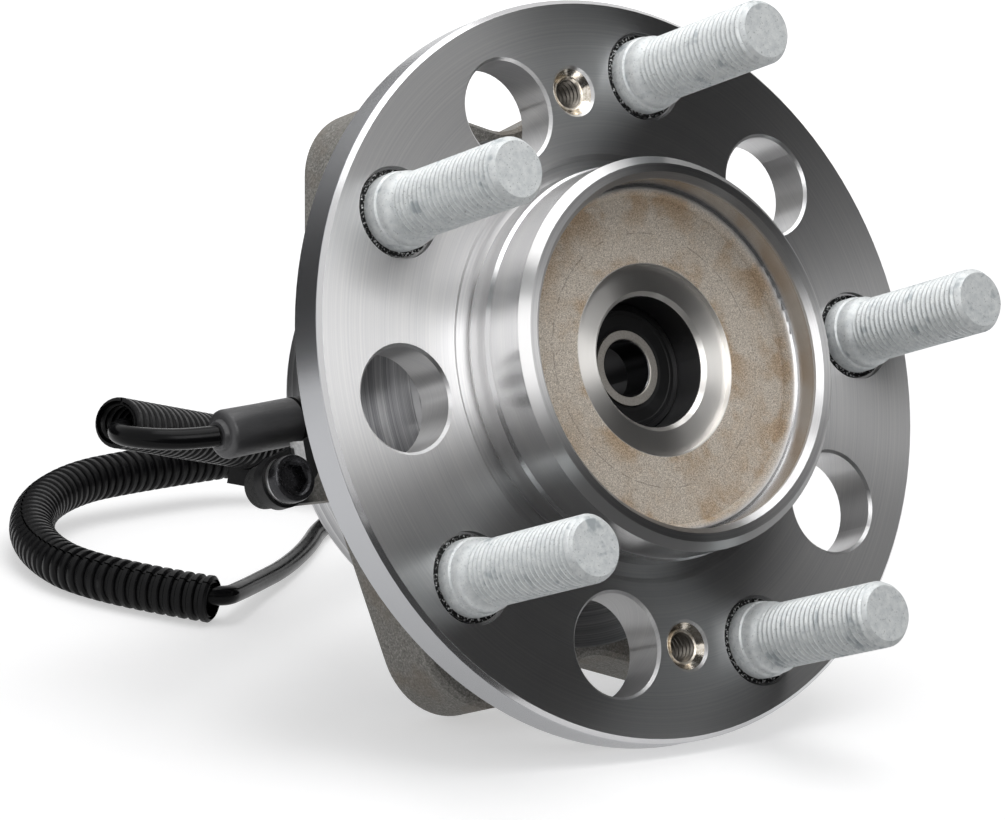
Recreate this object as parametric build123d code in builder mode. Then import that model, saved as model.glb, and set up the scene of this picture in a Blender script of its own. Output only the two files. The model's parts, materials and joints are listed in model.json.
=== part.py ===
"""Wheel hub bearing: flanged hub with five studs, two ball rows, knuckle flange ring and speed sensor."""

import os
from math import atan2, cos, hypot, pi, radians, sin, sqrt, tan

from build123d import *

os.makedirs("parts", exist_ok=True)

# ---------------------------------------------------------------- driving dimensions (mm)
# Hub flange and pilot
FLANGE_R = 80.0
FLANGE_T = 10.5
FLANGE_FRONT_CHAMFER = 1.0
FLANGE_BACK_CHAMFER = 2.0
DISC_PILOT_R = 42.4
WHEEL_PILOT_R = 42.0
DISC_PILOT_H = 6.0
PILOT_H = 18.0
PILOT_CHAMFER = 1.8
PILOT_RIM_R = 38.4
CUP_R = 37.2
CUP_FLOOR_Z = 8.5
CUP_FILLET = 2.2
SPOT_FACE_R = 20.5
SPOT_FACE_DEPTH = 1.3
RELIEF_R = 46.2
RELIEF_DEPTH = 1.0

# Wheel studs, disc screws and tool holes
STUD_COUNT = 5
STUD_PCD = 130.0
STUD_ANGLE = 74.3
STUD_R = 7.0
STUD_TIP_Z = 40.9
STUD_COLLAR_R = 8.5
STUD_COLLAR_H = 4.5
STUD_KNURL_R = 8.75
STUD_HEAD_R = 11.0
STUD_HEAD_T = 4.0
STUD_SINK_R = 9.8
STUD_SINK_DEPTH = 1.5
TOOL_HOLE_PCD = 120.0
TOOL_HOLE_R = 11.0
TOOL_HOLE_CHAMFER = 0.6
DISC_SCREW_PCD = 120.0
DISC_SCREW_R = 3.4
DISC_SCREW_SINK_R = 5.6
DISC_SCREW_ANGLE = 92.3

# Bearing
BALL_R = 6.0
BALL_COUNT = 13
PITCH_R = 32.5
RACE_GAP = 0.1
MID_Z = -39.0
ROW_OFFSET = 10.5
RING_HALF_WIDTH = 23.0
STUB_R = 20.5
HUB_BORE_R = 13.0
HUB_HOLLOW_R = 16.5
HUB_HOLLOW_Z = -15.0
INNER_LOW_R = 27.0
INNER_HIGH_R = 29.5
OUTER_LOW_R = 37.9
OUTER_HIGH_R = 35.2
SEAL_POCKET_R = 39.0
SEAL_POCKET_DEPTH = 4.4
FRONT_BARREL_R = 45.5
SPIGOT_R = 47.0
COLLAR_R = 25.5
COLLAR_T = 3.5
CAGE_HALF = 2.3
TONE_R = 32.0
TONE_WIDTH = 7.0
TONE_TEETH = 44
TONE_DEPTH = 1.8
CAGE_LIP = 1.8
CAGE_BASE = 1.3
POCKET_GAP = 0.2
CORE_DEPTH = 4.2
CORE_WALL = 0.9
CORE_EYE_R = 33.0
SLINGER_WALL = 0.8

# Knuckle flange
KNUCKLE_FRONT_Z = -28.0
KNUCKLE_BACK_Z = -43.7
KNUCKLE_DISC_R = 54.0
NOTCH_R = 12.0
LOBE_CENTRE_R = 57.0
LOBE_R = 16.5
LOBE_ANGLE = 60.0
LOBE_HOLE_R = 6.5
LOBE_CHAMFER = 1.0

# Pilot bearing, 12 x 28 x 8
PILOT_BORE_R = 6.0
PILOT_OUT_R = 14.0
PILOT_WIDTH = 8.0
PILOT_FACE_Z = -1.0
PILOT_PITCH_R = 10.0
PILOT_BALL_R = 2.2
PILOT_BALL_COUNT = 8
PILOT_INNER_LAND_R = 8.1
PILOT_OUTER_LAND_R = 11.7
PILOT_CAGE_LIP = 0.7
PILOT_CAGE_HALF = 1.0
PILOT_CAGE_BASE = 0.4
SHIELD_R = 12.4
SHIELD_T = 0.9
SHIELD_SEAT = 1.2

# Speed sensor and its cable
NOSE_R = 4.5
AIR_GAP = 0.8
BOOT_R = 5.1
BOOT_START = 61.0
BOOT_END = 77.5
SCREW_X = -73.6
SCREW_Y = -13.6
SCREW_R = 2.5
SCREW_HEAD_R = 5.0
SCREW_HEAD_H = 3.0
SCREW_KEY = 4.0
PAD_R = 4.6
PAD_T = 5.0
PAD_TOP_Z = -30.7
EAR_T = 3.0
BRACKET_T = 1.2
LEAD_R = 2.25
BOOT_DROOP = radians(4.6)
BOOT_TAPER = 3.0
BOOT_SPIGOT_R = 3.4
BOOT_SPIGOT_L = 5.0
EAR_R = 5.6
EAR_ROOT_R = 1.6
WEB_TOP_Y = 3.0
WEB_LOW_Y = -6.4
BUSHING_R = 3.9
O_RING_R = 0.75
O_RING_AT = 50.0
STRAP_X = -69.4
STRAP_W = 2.6
STRAP_TOP_Y = -5.8
CONDUIT_R = 5.4
CONDUIT_BORE_R = 4.0
MOUTH_DEPTH = 12.0
CLIP_WALL = 1.2
CLIP_LENGTH = 8.0
CLIP_SHARE = 0.6
CLIP_GAP = 7.0
CLIP_FOOT_W = 7.6
CLIP_FOOT_H = 3.8
CLIP_PEG_X = -2.2
CLIP_PEG_R = 1.55
CLIP_PEG_L = 4.4
CONNECTOR_X = 80.4
CONNECTOR_Y = 158.7
CONNECTOR_L = 20.0
CONNECTOR_W = 15.0
CONNECTOR_H = 11.0
PLUG_SEAL_R = 3.4
PLUG_SEAL_L = 4.0
PLUG_NECK_L = 4.0
PLUG_WALL = 1.5
PLUG_CAVITY = 12.0
PLUG_LATCH_W = 6.0
PLUG_LATCH_L = 9.0
PIN_PITCH = 5.0

# Clearances
PRESS_GAP = 0.02
LIP_GAP = 0.15
SLIP_GAP = 0.1

# Floor position of the flange's centre
HUB_X = 0.4
HUB_Y = -5.3

# ---------------------------------------------------------------- stance
# The unit leans back on three points: the lower back edge of the hub flange and the two lower lobes
# of the knuckle flange. The lean follows from the heights of those points.
RIM_FOOT_Z = -(FLANGE_T - FLANGE_BACK_CHAMFER)
LOBE_FOOT_R = LOBE_CENTRE_R * sin(radians(LOBE_ANGLE)) + LOBE_R
LOBE_FOOT_Z = KNUCKLE_BACK_Z + LOBE_CHAMFER
LEAN = atan2(FLANGE_R - LOBE_FOOT_R, RIM_FOOT_Z - LOBE_FOOT_Z)
CENTRE_H = FLANGE_R * cos(LEAN) - RIM_FOOT_Z * sin(LEAN)

# Hub plane: its origin is the centre of the flange's front face and its normal points outboard.
# It stands off the floor's origin so that the unit without its cable is centred over it.
HUB = Plane(origin=(HUB_X, HUB_Y, CENTRE_H), x_dir=(1, 0, 0), z_dir=(0, -cos(LEAN), sin(LEAN)))
SPIN = Axis(HUB.origin, HUB.z_dir)
# Section plane through the spin axis: x is the radius and y the distance outboard of the face.
SECTION = Plane(origin=HUB.origin, x_dir=HUB.x_dir, z_dir=-HUB.y_dir)
# Sensor plane: its normal points radially out along the sensor and its x is the spin axis.
SENSOR = Plane(
    origin=HUB.from_local_coords(Vector(0, 0, MID_Z)), x_dir=HUB.z_dir, z_dir=-HUB.x_dir
)


GROOVE_R = BALL_R + RACE_GAP


def groove_z(radius, row_z, side, groove=GROOVE_R, pitch=PITCH_R):
    """Height at which a ball groove of the given row meets a land of the given radius."""
    return row_z + side * sqrt(groove**2 - (pitch - radius) ** 2)


def groove_bottom(row_z, sign, groove=GROOVE_R, pitch=PITCH_R):
    """Deepest point of a groove, outside the balls for sign 1 and inside them for sign -1."""
    return (pitch + sign * groove, row_z)


OUT_ROW_Z = MID_Z + ROW_OFFSET
IN_ROW_Z = MID_Z - ROW_OFFSET
RING_FRONT_Z = MID_Z + RING_HALF_WIDTH
RING_BACK_Z = MID_Z - RING_HALF_WIDTH
INNER_RING_FRONT_Z = MID_Z - TONE_WIDTH / 2 - 0.5
PILOT_BACK_Z = PILOT_FACE_Z - PILOT_WIDTH
SPOT_FACE_Z = CUP_FLOOR_Z - SPOT_FACE_DEPTH
COLLAR_BACK_Z = RING_BACK_Z - COLLAR_T
LOBE_TURNS = (LOBE_ANGLE, 180 - LOBE_ANGLE, 180 + LOBE_ANGLE, -LOBE_ANGLE)
PAD_ROOT_X = PAD_R - KNUCKLE_DISC_R
EAR_TOP_Z = PAD_TOP_Z + EAR_T
HEAD_BASE_Z = EAR_TOP_Z + BRACKET_T


def is_knuckle_rim(edge):
    """True for the outline edges on both faces of the knuckle flange."""
    ends = [HUB.to_local_coords(edge.position_at(share)) for share in (0, 0.5, 1)]
    on_face = any(
        all(abs(point.Z - face_z) < 1e-3 for point in ends)
        for face_z in (KNUCKLE_FRONT_Z, KNUCKLE_BACK_Z)
    )
    return on_face and min(hypot(point.X, point.Y) for point in ends) > KNUCKLE_DISC_R - 1.0

# ---------------------------------------------------------------- hub flange
# One forging: wheel flange with its pilot cup in front, and behind it the neck with the outboard
# raceway and the stub whose end is rolled over into a collar that holds the inner ring.
with BuildPart() as hub_flange:
    with BuildSketch(SECTION):
        with BuildLine():
            Polyline(
                (HUB_BORE_R, PILOT_BACK_Z),
                (PILOT_OUT_R, PILOT_BACK_Z),
                (PILOT_OUT_R, SPOT_FACE_Z - 1.0),
                (PILOT_OUT_R + 1.0, SPOT_FACE_Z),
                (SPOT_FACE_R, SPOT_FACE_Z),
                (SPOT_FACE_R, CUP_FLOOR_Z),
                (CUP_R - CUP_FILLET, CUP_FLOOR_Z),
            )
            RadiusArc(
                (CUP_R - CUP_FILLET, CUP_FLOOR_Z), (CUP_R, CUP_FLOOR_Z + CUP_FILLET), CUP_FILLET
            )
            Polyline(
                (CUP_R, CUP_FLOOR_Z + CUP_FILLET),
                (CUP_R, PILOT_H - (PILOT_RIM_R - CUP_R)),
                (PILOT_RIM_R, PILOT_H),
                (WHEEL_PILOT_R - PILOT_CHAMFER, PILOT_H),
                (WHEEL_PILOT_R, PILOT_H - PILOT_CHAMFER),
                (WHEEL_PILOT_R, DISC_PILOT_H + 0.6),
                (WHEEL_PILOT_R - 0.5, DISC_PILOT_H + 0.3),
                (DISC_PILOT_R, DISC_PILOT_H - 0.5),
                (DISC_PILOT_R, 0.4),
                (DISC_PILOT_R - 0.6, -RELIEF_DEPTH),
                (RELIEF_R - 1.2, -RELIEF_DEPTH),
                (RELIEF_R, 0),
                (FLANGE_R - FLANGE_FRONT_CHAMFER, 0),
                (FLANGE_R, -FLANGE_FRONT_CHAMFER),
                (FLANGE_R, RIM_FOOT_Z),
                (FLANGE_R - FLANGE_BACK_CHAMFER, -FLANGE_T),
                (FRONT_BARREL_R + 2.5, -FLANGE_T),
                (INNER_HIGH_R + 4.5, -FLANGE_T - 2.0),
            )
            RadiusArc(
                (INNER_HIGH_R + 4.5, -FLANGE_T - 2.0), (INNER_HIGH_R, -FLANGE_T - 5.5), -6.0
            )
            Polyline(
                (INNER_HIGH_R, -FLANGE_T - 5.5),
                (INNER_HIGH_R, groove_z(INNER_HIGH_R, OUT_ROW_Z, 1)),
            )
            ThreePointArc(
                (INNER_HIGH_R, groove_z(INNER_HIGH_R, OUT_ROW_Z, 1)),
                groove_bottom(OUT_ROW_Z, -1),
                (INNER_LOW_R, groove_z(INNER_LOW_R, OUT_ROW_Z, -1)),
            )
            Polyline(
                (INNER_LOW_R, groove_z(INNER_LOW_R, OUT_ROW_Z, -1)),
                (INNER_LOW_R, INNER_RING_FRONT_Z),
                (STUB_R, INNER_RING_FRONT_Z),
                (STUB_R, RING_BACK_Z),
                (COLLAR_R, RING_BACK_Z),
                (COLLAR_R, RING_BACK_Z - COLLAR_T / 2),
                (COLLAR_R - 2.0, COLLAR_BACK_Z),
                (HUB_HOLLOW_R + 1.0, COLLAR_BACK_Z),
                (HUB_HOLLOW_R, COLLAR_BACK_Z + 1.0),
                (HUB_HOLLOW_R, HUB_HOLLOW_Z - HUB_HOLLOW_R + HUB_BORE_R),
                (HUB_BORE_R, HUB_HOLLOW_Z),
                (HUB_BORE_R, PILOT_BACK_Z),
            )
        make_face()
    revolve(axis=SPIN)
    with BuildSketch(HUB.offset(-FLANGE_T)):
        with PolarLocations(STUD_PCD / 2, STUD_COUNT, start_angle=STUD_ANGLE):
            Circle(STUD_KNURL_R + PRESS_GAP)
    extrude(amount=FLANGE_T, mode=Mode.SUBTRACT)
    with BuildSketch(HUB):
        with PolarLocations(STUD_PCD / 2, STUD_COUNT, start_angle=STUD_ANGLE):
            Circle(STUD_SINK_R)
    extrude(amount=-STUD_SINK_DEPTH, mode=Mode.SUBTRACT)
    with BuildSketch(HUB.offset(-FLANGE_T)):
        with PolarLocations(TOOL_HOLE_PCD / 2, STUD_COUNT, start_angle=STUD_ANGLE + 36):
            Circle(TOOL_HOLE_R)
    extrude(amount=FLANGE_T, mode=Mode.SUBTRACT)
    tool_edges = hub_flange.edges().filter_by(
        lambda e: e.geom_type == GeomType.CIRCLE and abs(e.radius - TOOL_HOLE_R) < 1e-3
    )
    chamfer(tool_edges, TOOL_HOLE_CHAMFER)
    with Locations(HUB):
        with PolarLocations(DISC_SCREW_PCD / 2, 2, start_angle=DISC_SCREW_ANGLE):
            CounterSinkHole(DISC_SCREW_R, DISC_SCREW_SINK_R, depth=FLANGE_T, counter_sink_angle=90)
hub_flange.part.label = "hub_flange"
export_step(hub_flange.part, "parts/hub_flange.step")

# ---------------------------------------------------------------- wheel studs
# Each stud is pressed in from behind: head, knurl in the flange, plain collar in front, then thread.
with BuildPart() as wheel_studs:
    for index in range(STUD_COUNT):
        stud_turn = radians(STUD_ANGLE + index * 360 / STUD_COUNT)
        stud_foot = HUB.from_local_coords(
            Vector(STUD_PCD / 2 * cos(stud_turn), STUD_PCD / 2 * sin(stud_turn), 0)
        )
        stud_section = Plane(origin=stud_foot, x_dir=HUB.x_dir, z_dir=-HUB.y_dir)
        with BuildSketch(stud_section):
            with BuildLine():
                Polyline(
                    (0, -FLANGE_T - STUD_HEAD_T),
                    (STUD_HEAD_R - 1.0, -FLANGE_T - STUD_HEAD_T),
                    (STUD_HEAD_R, -FLANGE_T - STUD_HEAD_T + 1.0),
                    (STUD_HEAD_R, -FLANGE_T),
                    (STUD_KNURL_R, -FLANGE_T),
                    (STUD_KNURL_R, -STUD_SINK_DEPTH),
                    (STUD_COLLAR_R, -STUD_SINK_DEPTH + 0.3),
                    (STUD_COLLAR_R, STUD_COLLAR_H),
                    (STUD_R, STUD_COLLAR_H + STUD_COLLAR_R - STUD_R),
                    (STUD_R, STUD_TIP_Z - 0.9),
                    (STUD_R - 0.6, STUD_TIP_Z),
                    (0, STUD_TIP_Z),
                    close=True,
                )
            make_face()
        revolve(axis=Axis(stud_foot, HUB.z_dir))
wheel_studs.part.label = "wheel_studs"
export_step(wheel_studs.part, "parts/wheel_studs.step")

# ---------------------------------------------------------------- inner ring
# Ground ring pressed on the stub against its shoulder, with the inboard raceway.
with BuildPart() as inner_ring:
    with BuildSketch(SECTION):
        with BuildLine():
            Polyline(
                (INNER_LOW_R, groove_z(INNER_LOW_R, IN_ROW_Z, 1)),
                (INNER_LOW_R, INNER_RING_FRONT_Z - PRESS_GAP),
                (STUB_R + PRESS_GAP + 0.6, INNER_RING_FRONT_Z - PRESS_GAP),
                (STUB_R + PRESS_GAP, INNER_RING_FRONT_Z - PRESS_GAP - 0.6),
                (STUB_R + PRESS_GAP, RING_BACK_Z + PRESS_GAP + 0.6),
                (STUB_R + PRESS_GAP + 0.6, RING_BACK_Z + PRESS_GAP),
                (INNER_HIGH_R - 0.8, RING_BACK_Z + PRESS_GAP),
                (INNER_HIGH_R, RING_BACK_Z + PRESS_GAP + 0.8),
                (INNER_HIGH_R, groove_z(INNER_HIGH_R, IN_ROW_Z, -1)),
            )
            ThreePointArc(
                (INNER_HIGH_R, groove_z(INNER_HIGH_R, IN_ROW_Z, -1)),
                groove_bottom(IN_ROW_Z, -1),
                (INNER_LOW_R, groove_z(INNER_LOW_R, IN_ROW_Z, 1)),
            )
        make_face()
    revolve(axis=SPIN)
inner_ring.part.label = "inner_ring"
export_step(inner_ring.part, "parts/inner_ring.step")

# ---------------------------------------------------------------- outer ring
# Cast ring with both outer raceways, the four-lobed knuckle flange, the pad of the sensor and the
# radial hole that lets the sensor see the tone ring between the ball rows. Each lobe runs into the
# round middle of the flange along two tangents.
with BuildSketch() as lobe_plan:
    Circle(KNUCKLE_DISC_R)
    with Locations((LOBE_CENTRE_R, 0)):
        Circle(LOBE_R)
    make_hull()

with BuildPart() as outer_ring:
    with BuildSketch(SECTION):
        with BuildLine():
            Polyline(
                (OUTER_LOW_R, groove_z(OUTER_LOW_R, OUT_ROW_Z, 1)),
                (OUTER_LOW_R, RING_FRONT_Z - SEAL_POCKET_DEPTH),
                (SEAL_POCKET_R, RING_FRONT_Z - SEAL_POCKET_DEPTH),
                (SEAL_POCKET_R, RING_FRONT_Z - 0.8),
                (SEAL_POCKET_R + 0.8, RING_FRONT_Z),
                (FRONT_BARREL_R - 1.0, RING_FRONT_Z),
                (FRONT_BARREL_R, RING_FRONT_Z - 1.0),
                (FRONT_BARREL_R, KNUCKLE_FRONT_Z - 1.0),
                (SPIGOT_R, KNUCKLE_BACK_Z + 1.0),
                (SPIGOT_R, RING_BACK_Z + 2.0),
                (SPIGOT_R - 1.2, RING_BACK_Z),
                (SEAL_POCKET_R + 0.8, RING_BACK_Z),
                (SEAL_POCKET_R, RING_BACK_Z + 0.8),
                (SEAL_POCKET_R, RING_BACK_Z + SEAL_POCKET_DEPTH),
                (OUTER_LOW_R, RING_BACK_Z + SEAL_POCKET_DEPTH),
                (OUTER_LOW_R, groove_z(OUTER_LOW_R, IN_ROW_Z, -1)),
            )
            ThreePointArc(
                (OUTER_LOW_R, groove_z(OUTER_LOW_R, IN_ROW_Z, -1)),
                groove_bottom(IN_ROW_Z, 1),
                (OUTER_HIGH_R, groove_z(OUTER_HIGH_R, IN_ROW_Z, 1)),
            )
            Line(
                (OUTER_HIGH_R, groove_z(OUTER_HIGH_R, IN_ROW_Z, 1)),
                (OUTER_HIGH_R, groove_z(OUTER_HIGH_R, OUT_ROW_Z, -1)),
            )
            ThreePointArc(
                (OUTER_HIGH_R, groove_z(OUTER_HIGH_R, OUT_ROW_Z, -1)),
                groove_bottom(OUT_ROW_Z, 1),
                (OUTER_LOW_R, groove_z(OUTER_LOW_R, OUT_ROW_Z, 1)),
            )
        make_face()
    revolve(axis=SPIN)
    with BuildSketch(HUB.offset(KNUCKLE_BACK_Z)) as knuckle_outline:
        for lobe_turn in LOBE_TURNS:
            add(lobe_plan.sketch, rotation=lobe_turn)
        fillet(knuckle_outline.vertices().filter_by_position(Axis.X, -0.1, 0.1), NOTCH_R)
        Circle(SPIGOT_R - 2.0, mode=Mode.SUBTRACT)
    extrude(amount=KNUCKLE_FRONT_Z - KNUCKLE_BACK_Z)
    chamfer(outer_ring.edges().filter_by(is_knuckle_rim), LOBE_CHAMFER)
    with BuildSketch(HUB.offset(PAD_TOP_Z)):
        with Locations((SCREW_X, SCREW_Y)):
            Circle(PAD_R)
        with Locations(((SCREW_X + PAD_ROOT_X) / 2, SCREW_Y)):
            Rectangle(PAD_ROOT_X - SCREW_X, 2 * PAD_R)
    extrude(amount=-PAD_T)
    with BuildSketch(HUB.offset(KNUCKLE_BACK_Z)):
        for lobe_turn in LOBE_TURNS:
            with PolarLocations(LOBE_CENTRE_R, 1, start_angle=lobe_turn):
                Circle(LOBE_HOLE_R)
        with Locations((SCREW_X, SCREW_Y)):
            Circle(SCREW_R + PRESS_GAP)
    extrude(amount=KNUCKLE_FRONT_Z - KNUCKLE_BACK_Z, mode=Mode.SUBTRACT)
    with BuildSketch(SENSOR.offset(OUTER_HIGH_R - 2.0)):
        Circle(NOSE_R + SLIP_GAP)
    extrude(amount=KNUCKLE_DISC_R - OUTER_HIGH_R + 3.0, mode=Mode.SUBTRACT)
outer_ring.part.label = "outer_ring"
export_step(outer_ring.part, "parts/outer_ring.step")

# ---------------------------------------------------------------- ball rows
# Each row is a ring of balls in a snap cage: a ribbed ring whose pockets close past the balls' middle.
for row_name, row_z, outward in (("outboard", OUT_ROW_Z, 1), ("inboard", IN_ROW_Z, -1)):
    with BuildPart() as balls:
        with Locations(HUB.offset(row_z)):
            with PolarLocations(PITCH_R, BALL_COUNT):
                Sphere(BALL_R)
    balls.part.label = f"{row_name}_balls"
    export_step(balls.part, f"parts/{row_name}_balls.step")

    with BuildPart() as cage:
        with BuildSketch(HUB.offset(row_z - outward * CAGE_LIP)):
            Circle(PITCH_R + CAGE_HALF)
            Circle(PITCH_R - CAGE_HALF, mode=Mode.SUBTRACT)
        extrude(amount=outward * (CAGE_LIP + BALL_R + POCKET_GAP + CAGE_BASE))
        with Locations(HUB.offset(row_z)):
            with PolarLocations(PITCH_R, BALL_COUNT):
                Sphere(BALL_R + POCKET_GAP, mode=Mode.SUBTRACT)
    cage.part.label = f"{row_name}_cage"
    export_step(cage.part, f"parts/{row_name}_cage.step")

# ---------------------------------------------------------------- tone ring
# Toothed steel ring pressed on the hub between the rows; its teeth pass the sensor's nose.
with BuildPart() as tone_ring:
    with BuildSketch(HUB.offset(MID_Z - TONE_WIDTH / 2)):
        Circle(TONE_R)
        Circle(INNER_LOW_R + PRESS_GAP, mode=Mode.SUBTRACT)
    extrude(amount=TONE_WIDTH)
    with Locations(HUB.offset(MID_Z)):
        with PolarLocations(TONE_R, TONE_TEETH):
            Box(2 * TONE_DEPTH, pi * TONE_R / TONE_TEETH, TONE_WIDTH, mode=Mode.SUBTRACT)
tone_ring.part.label = "tone_ring"
export_step(tone_ring.part, "parts/tone_ring.step")

# ---------------------------------------------------------------- seals
# Both ends have a pressed steel core with rubber lips moulded on it. The inboard lips run on a steel
# slinger on the inner ring, the outboard lips straight on the hub's neck.
for seal_name, end_z, outward in (("outboard", RING_FRONT_Z, 1), ("inboard", RING_BACK_Z, -1)):
    with BuildPart() as core:
        with BuildSketch(SECTION):
            with BuildLine():
                Polyline(
                    (SEAL_POCKET_R - PRESS_GAP, end_z - outward * 0.6),
                    (SEAL_POCKET_R - PRESS_GAP, end_z - outward * CORE_DEPTH),
                    (CORE_EYE_R, end_z - outward * CORE_DEPTH),
                    (CORE_EYE_R, end_z - outward * (CORE_DEPTH - CORE_WALL)),
                    (SEAL_POCKET_R - CORE_WALL, end_z - outward * (CORE_DEPTH - CORE_WALL)),
                    (SEAL_POCKET_R - CORE_WALL, end_z - outward * 0.6),
                    close=True,
                )
            make_face()
        revolve(axis=SPIN)
    core.part.label = f"{seal_name}_seal_core"
    export_step(core.part, f"parts/{seal_name}_seal_core.step")

    lip_r = INNER_HIGH_R + LIP_GAP if outward > 0 else INNER_HIGH_R + SLINGER_WALL + LIP_GAP
    with BuildPart() as seal:
        with BuildSketch(SECTION):
            with BuildLine():
                Polyline(
                    (SEAL_POCKET_R - CORE_WALL - PRESS_GAP, end_z - outward * 1.3),
                    (SEAL_POCKET_R - CORE_WALL - PRESS_GAP, end_z - outward * 3.3),
                    (CORE_EYE_R - PRESS_GAP, end_z - outward * 3.3),
                    (CORE_EYE_R - PRESS_GAP, end_z - outward * CORE_DEPTH),
                    (lip_r + 0.6, end_z - outward * CORE_DEPTH),
                    (lip_r, end_z - outward * 3.7),
                    (lip_r, end_z - outward * 3.2),
                    (lip_r + 1.6, end_z - outward * 2.6),
                    (lip_r + 1.6, end_z - outward * 2.2),
                    (lip_r, end_z - outward * 1.8),
                    (lip_r, end_z - outward * 1.3),
                    (lip_r + 2.2, end_z - outward * 1.3),
                    (CORE_EYE_R, end_z - outward * 2.2),
                    (SEAL_POCKET_R - 2.0, end_z - outward * 2.2),
                    close=True,
                )
            make_face()
        revolve(axis=SPIN)
    seal.part.label = f"{seal_name}_seal"
    export_step(seal.part, f"parts/{seal_name}_seal.step")

with BuildPart() as inboard_slinger:
    with BuildSketch(SECTION):
        with BuildLine():
            Polyline(
                (INNER_HIGH_R + PRESS_GAP, RING_BACK_Z + 0.1),
                (INNER_HIGH_R + PRESS_GAP, RING_BACK_Z + 3.6),
                (INNER_HIGH_R + SLINGER_WALL, RING_BACK_Z + 3.6),
                (INNER_HIGH_R + SLINGER_WALL, RING_BACK_Z + 0.1 + SLINGER_WALL),
                (SEAL_POCKET_R - CORE_WALL - 0.6, RING_BACK_Z + 0.1 + SLINGER_WALL),
                (SEAL_POCKET_R - CORE_WALL - 0.6, RING_BACK_Z + 0.1),
                close=True,
            )
        make_face()
    revolve(axis=SPIN)
inboard_slinger.part.label = "inboard_slinger"
export_step(inboard_slinger.part, "parts/inboard_slinger.step")

# ---------------------------------------------------------------- pilot bearing
# Small sealed ball bearing in the mouth of the hub's bore: two grooved races, balls, a snap cage and
# a rubber-covered shield on each face.
PILOT_MID_Z = PILOT_FACE_Z - PILOT_WIDTH / 2
PILOT_GROOVE_R = PILOT_BALL_R + RACE_GAP / 2
PILOT_GROOVE = {"groove": PILOT_GROOVE_R, "pitch": PILOT_PITCH_R}
with BuildPart() as pilot_outer_race:
    with BuildSketch(SECTION):
        with BuildLine():
            Polyline(
                (PILOT_OUTER_LAND_R, groove_z(PILOT_OUTER_LAND_R, PILOT_MID_Z, 1, **PILOT_GROOVE)),
                (PILOT_OUTER_LAND_R, PILOT_FACE_Z - SHIELD_SEAT),
                (SHIELD_R + PRESS_GAP, PILOT_FACE_Z - SHIELD_SEAT),
                (SHIELD_R + PRESS_GAP, PILOT_FACE_Z),
                (PILOT_OUT_R - PRESS_GAP - 0.4, PILOT_FACE_Z),
                (PILOT_OUT_R - PRESS_GAP, PILOT_FACE_Z - 0.4),
                (PILOT_OUT_R - PRESS_GAP, PILOT_BACK_Z + 0.4),
                (PILOT_OUT_R - PRESS_GAP - 0.4, PILOT_BACK_Z),
                (SHIELD_R + PRESS_GAP, PILOT_BACK_Z),
                (SHIELD_R + PRESS_GAP, PILOT_BACK_Z + SHIELD_SEAT),
                (PILOT_OUTER_LAND_R, PILOT_BACK_Z + SHIELD_SEAT),
                (PILOT_OUTER_LAND_R, groove_z(PILOT_OUTER_LAND_R, PILOT_MID_Z, -1, **PILOT_GROOVE)),
            )
            ThreePointArc(
                (PILOT_OUTER_LAND_R, groove_z(PILOT_OUTER_LAND_R, PILOT_MID_Z, -1, **PILOT_GROOVE)),
                groove_bottom(PILOT_MID_Z, 1, **PILOT_GROOVE),
                (PILOT_OUTER_LAND_R, groove_z(PILOT_OUTER_LAND_R, PILOT_MID_Z, 1, **PILOT_GROOVE)),
            )
        make_face()
    revolve(axis=SPIN)
pilot_outer_race.part.label = "pilot_outer_race"
export_step(pilot_outer_race.part, "parts/pilot_outer_race.step")

with BuildPart() as pilot_inner_race:
    with BuildSketch(SECTION):
        with BuildLine():
            Polyline(
                (PILOT_INNER_LAND_R, groove_z(PILOT_INNER_LAND_R, PILOT_MID_Z, 1, **PILOT_GROOVE)),
                (PILOT_INNER_LAND_R, PILOT_FACE_Z),
                (PILOT_BORE_R + 0.4, PILOT_FACE_Z),
                (PILOT_BORE_R, PILOT_FACE_Z - 0.4),
                (PILOT_BORE_R, PILOT_BACK_Z + 0.4),
                (PILOT_BORE_R + 0.4, PILOT_BACK_Z),
                (PILOT_INNER_LAND_R, PILOT_BACK_Z),
                (PILOT_INNER_LAND_R, groove_z(PILOT_INNER_LAND_R, PILOT_MID_Z, -1, **PILOT_GROOVE)),
            )
            ThreePointArc(
                (PILOT_INNER_LAND_R, groove_z(PILOT_INNER_LAND_R, PILOT_MID_Z, -1, **PILOT_GROOVE)),
                groove_bottom(PILOT_MID_Z, -1, **PILOT_GROOVE),
                (PILOT_INNER_LAND_R, groove_z(PILOT_INNER_LAND_R, PILOT_MID_Z, 1, **PILOT_GROOVE)),
            )
        make_face()
    revolve(axis=SPIN)
pilot_inner_race.part.label = "pilot_inner_race"
export_step(pilot_inner_race.part, "parts/pilot_inner_race.step")

with BuildPart() as pilot_balls:
    with Locations(HUB.offset(PILOT_MID_Z)):
        with PolarLocations(PILOT_PITCH_R, PILOT_BALL_COUNT):
            Sphere(PILOT_BALL_R)
pilot_balls.part.label = "pilot_balls"
export_step(pilot_balls.part, "parts/pilot_balls.step")

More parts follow.
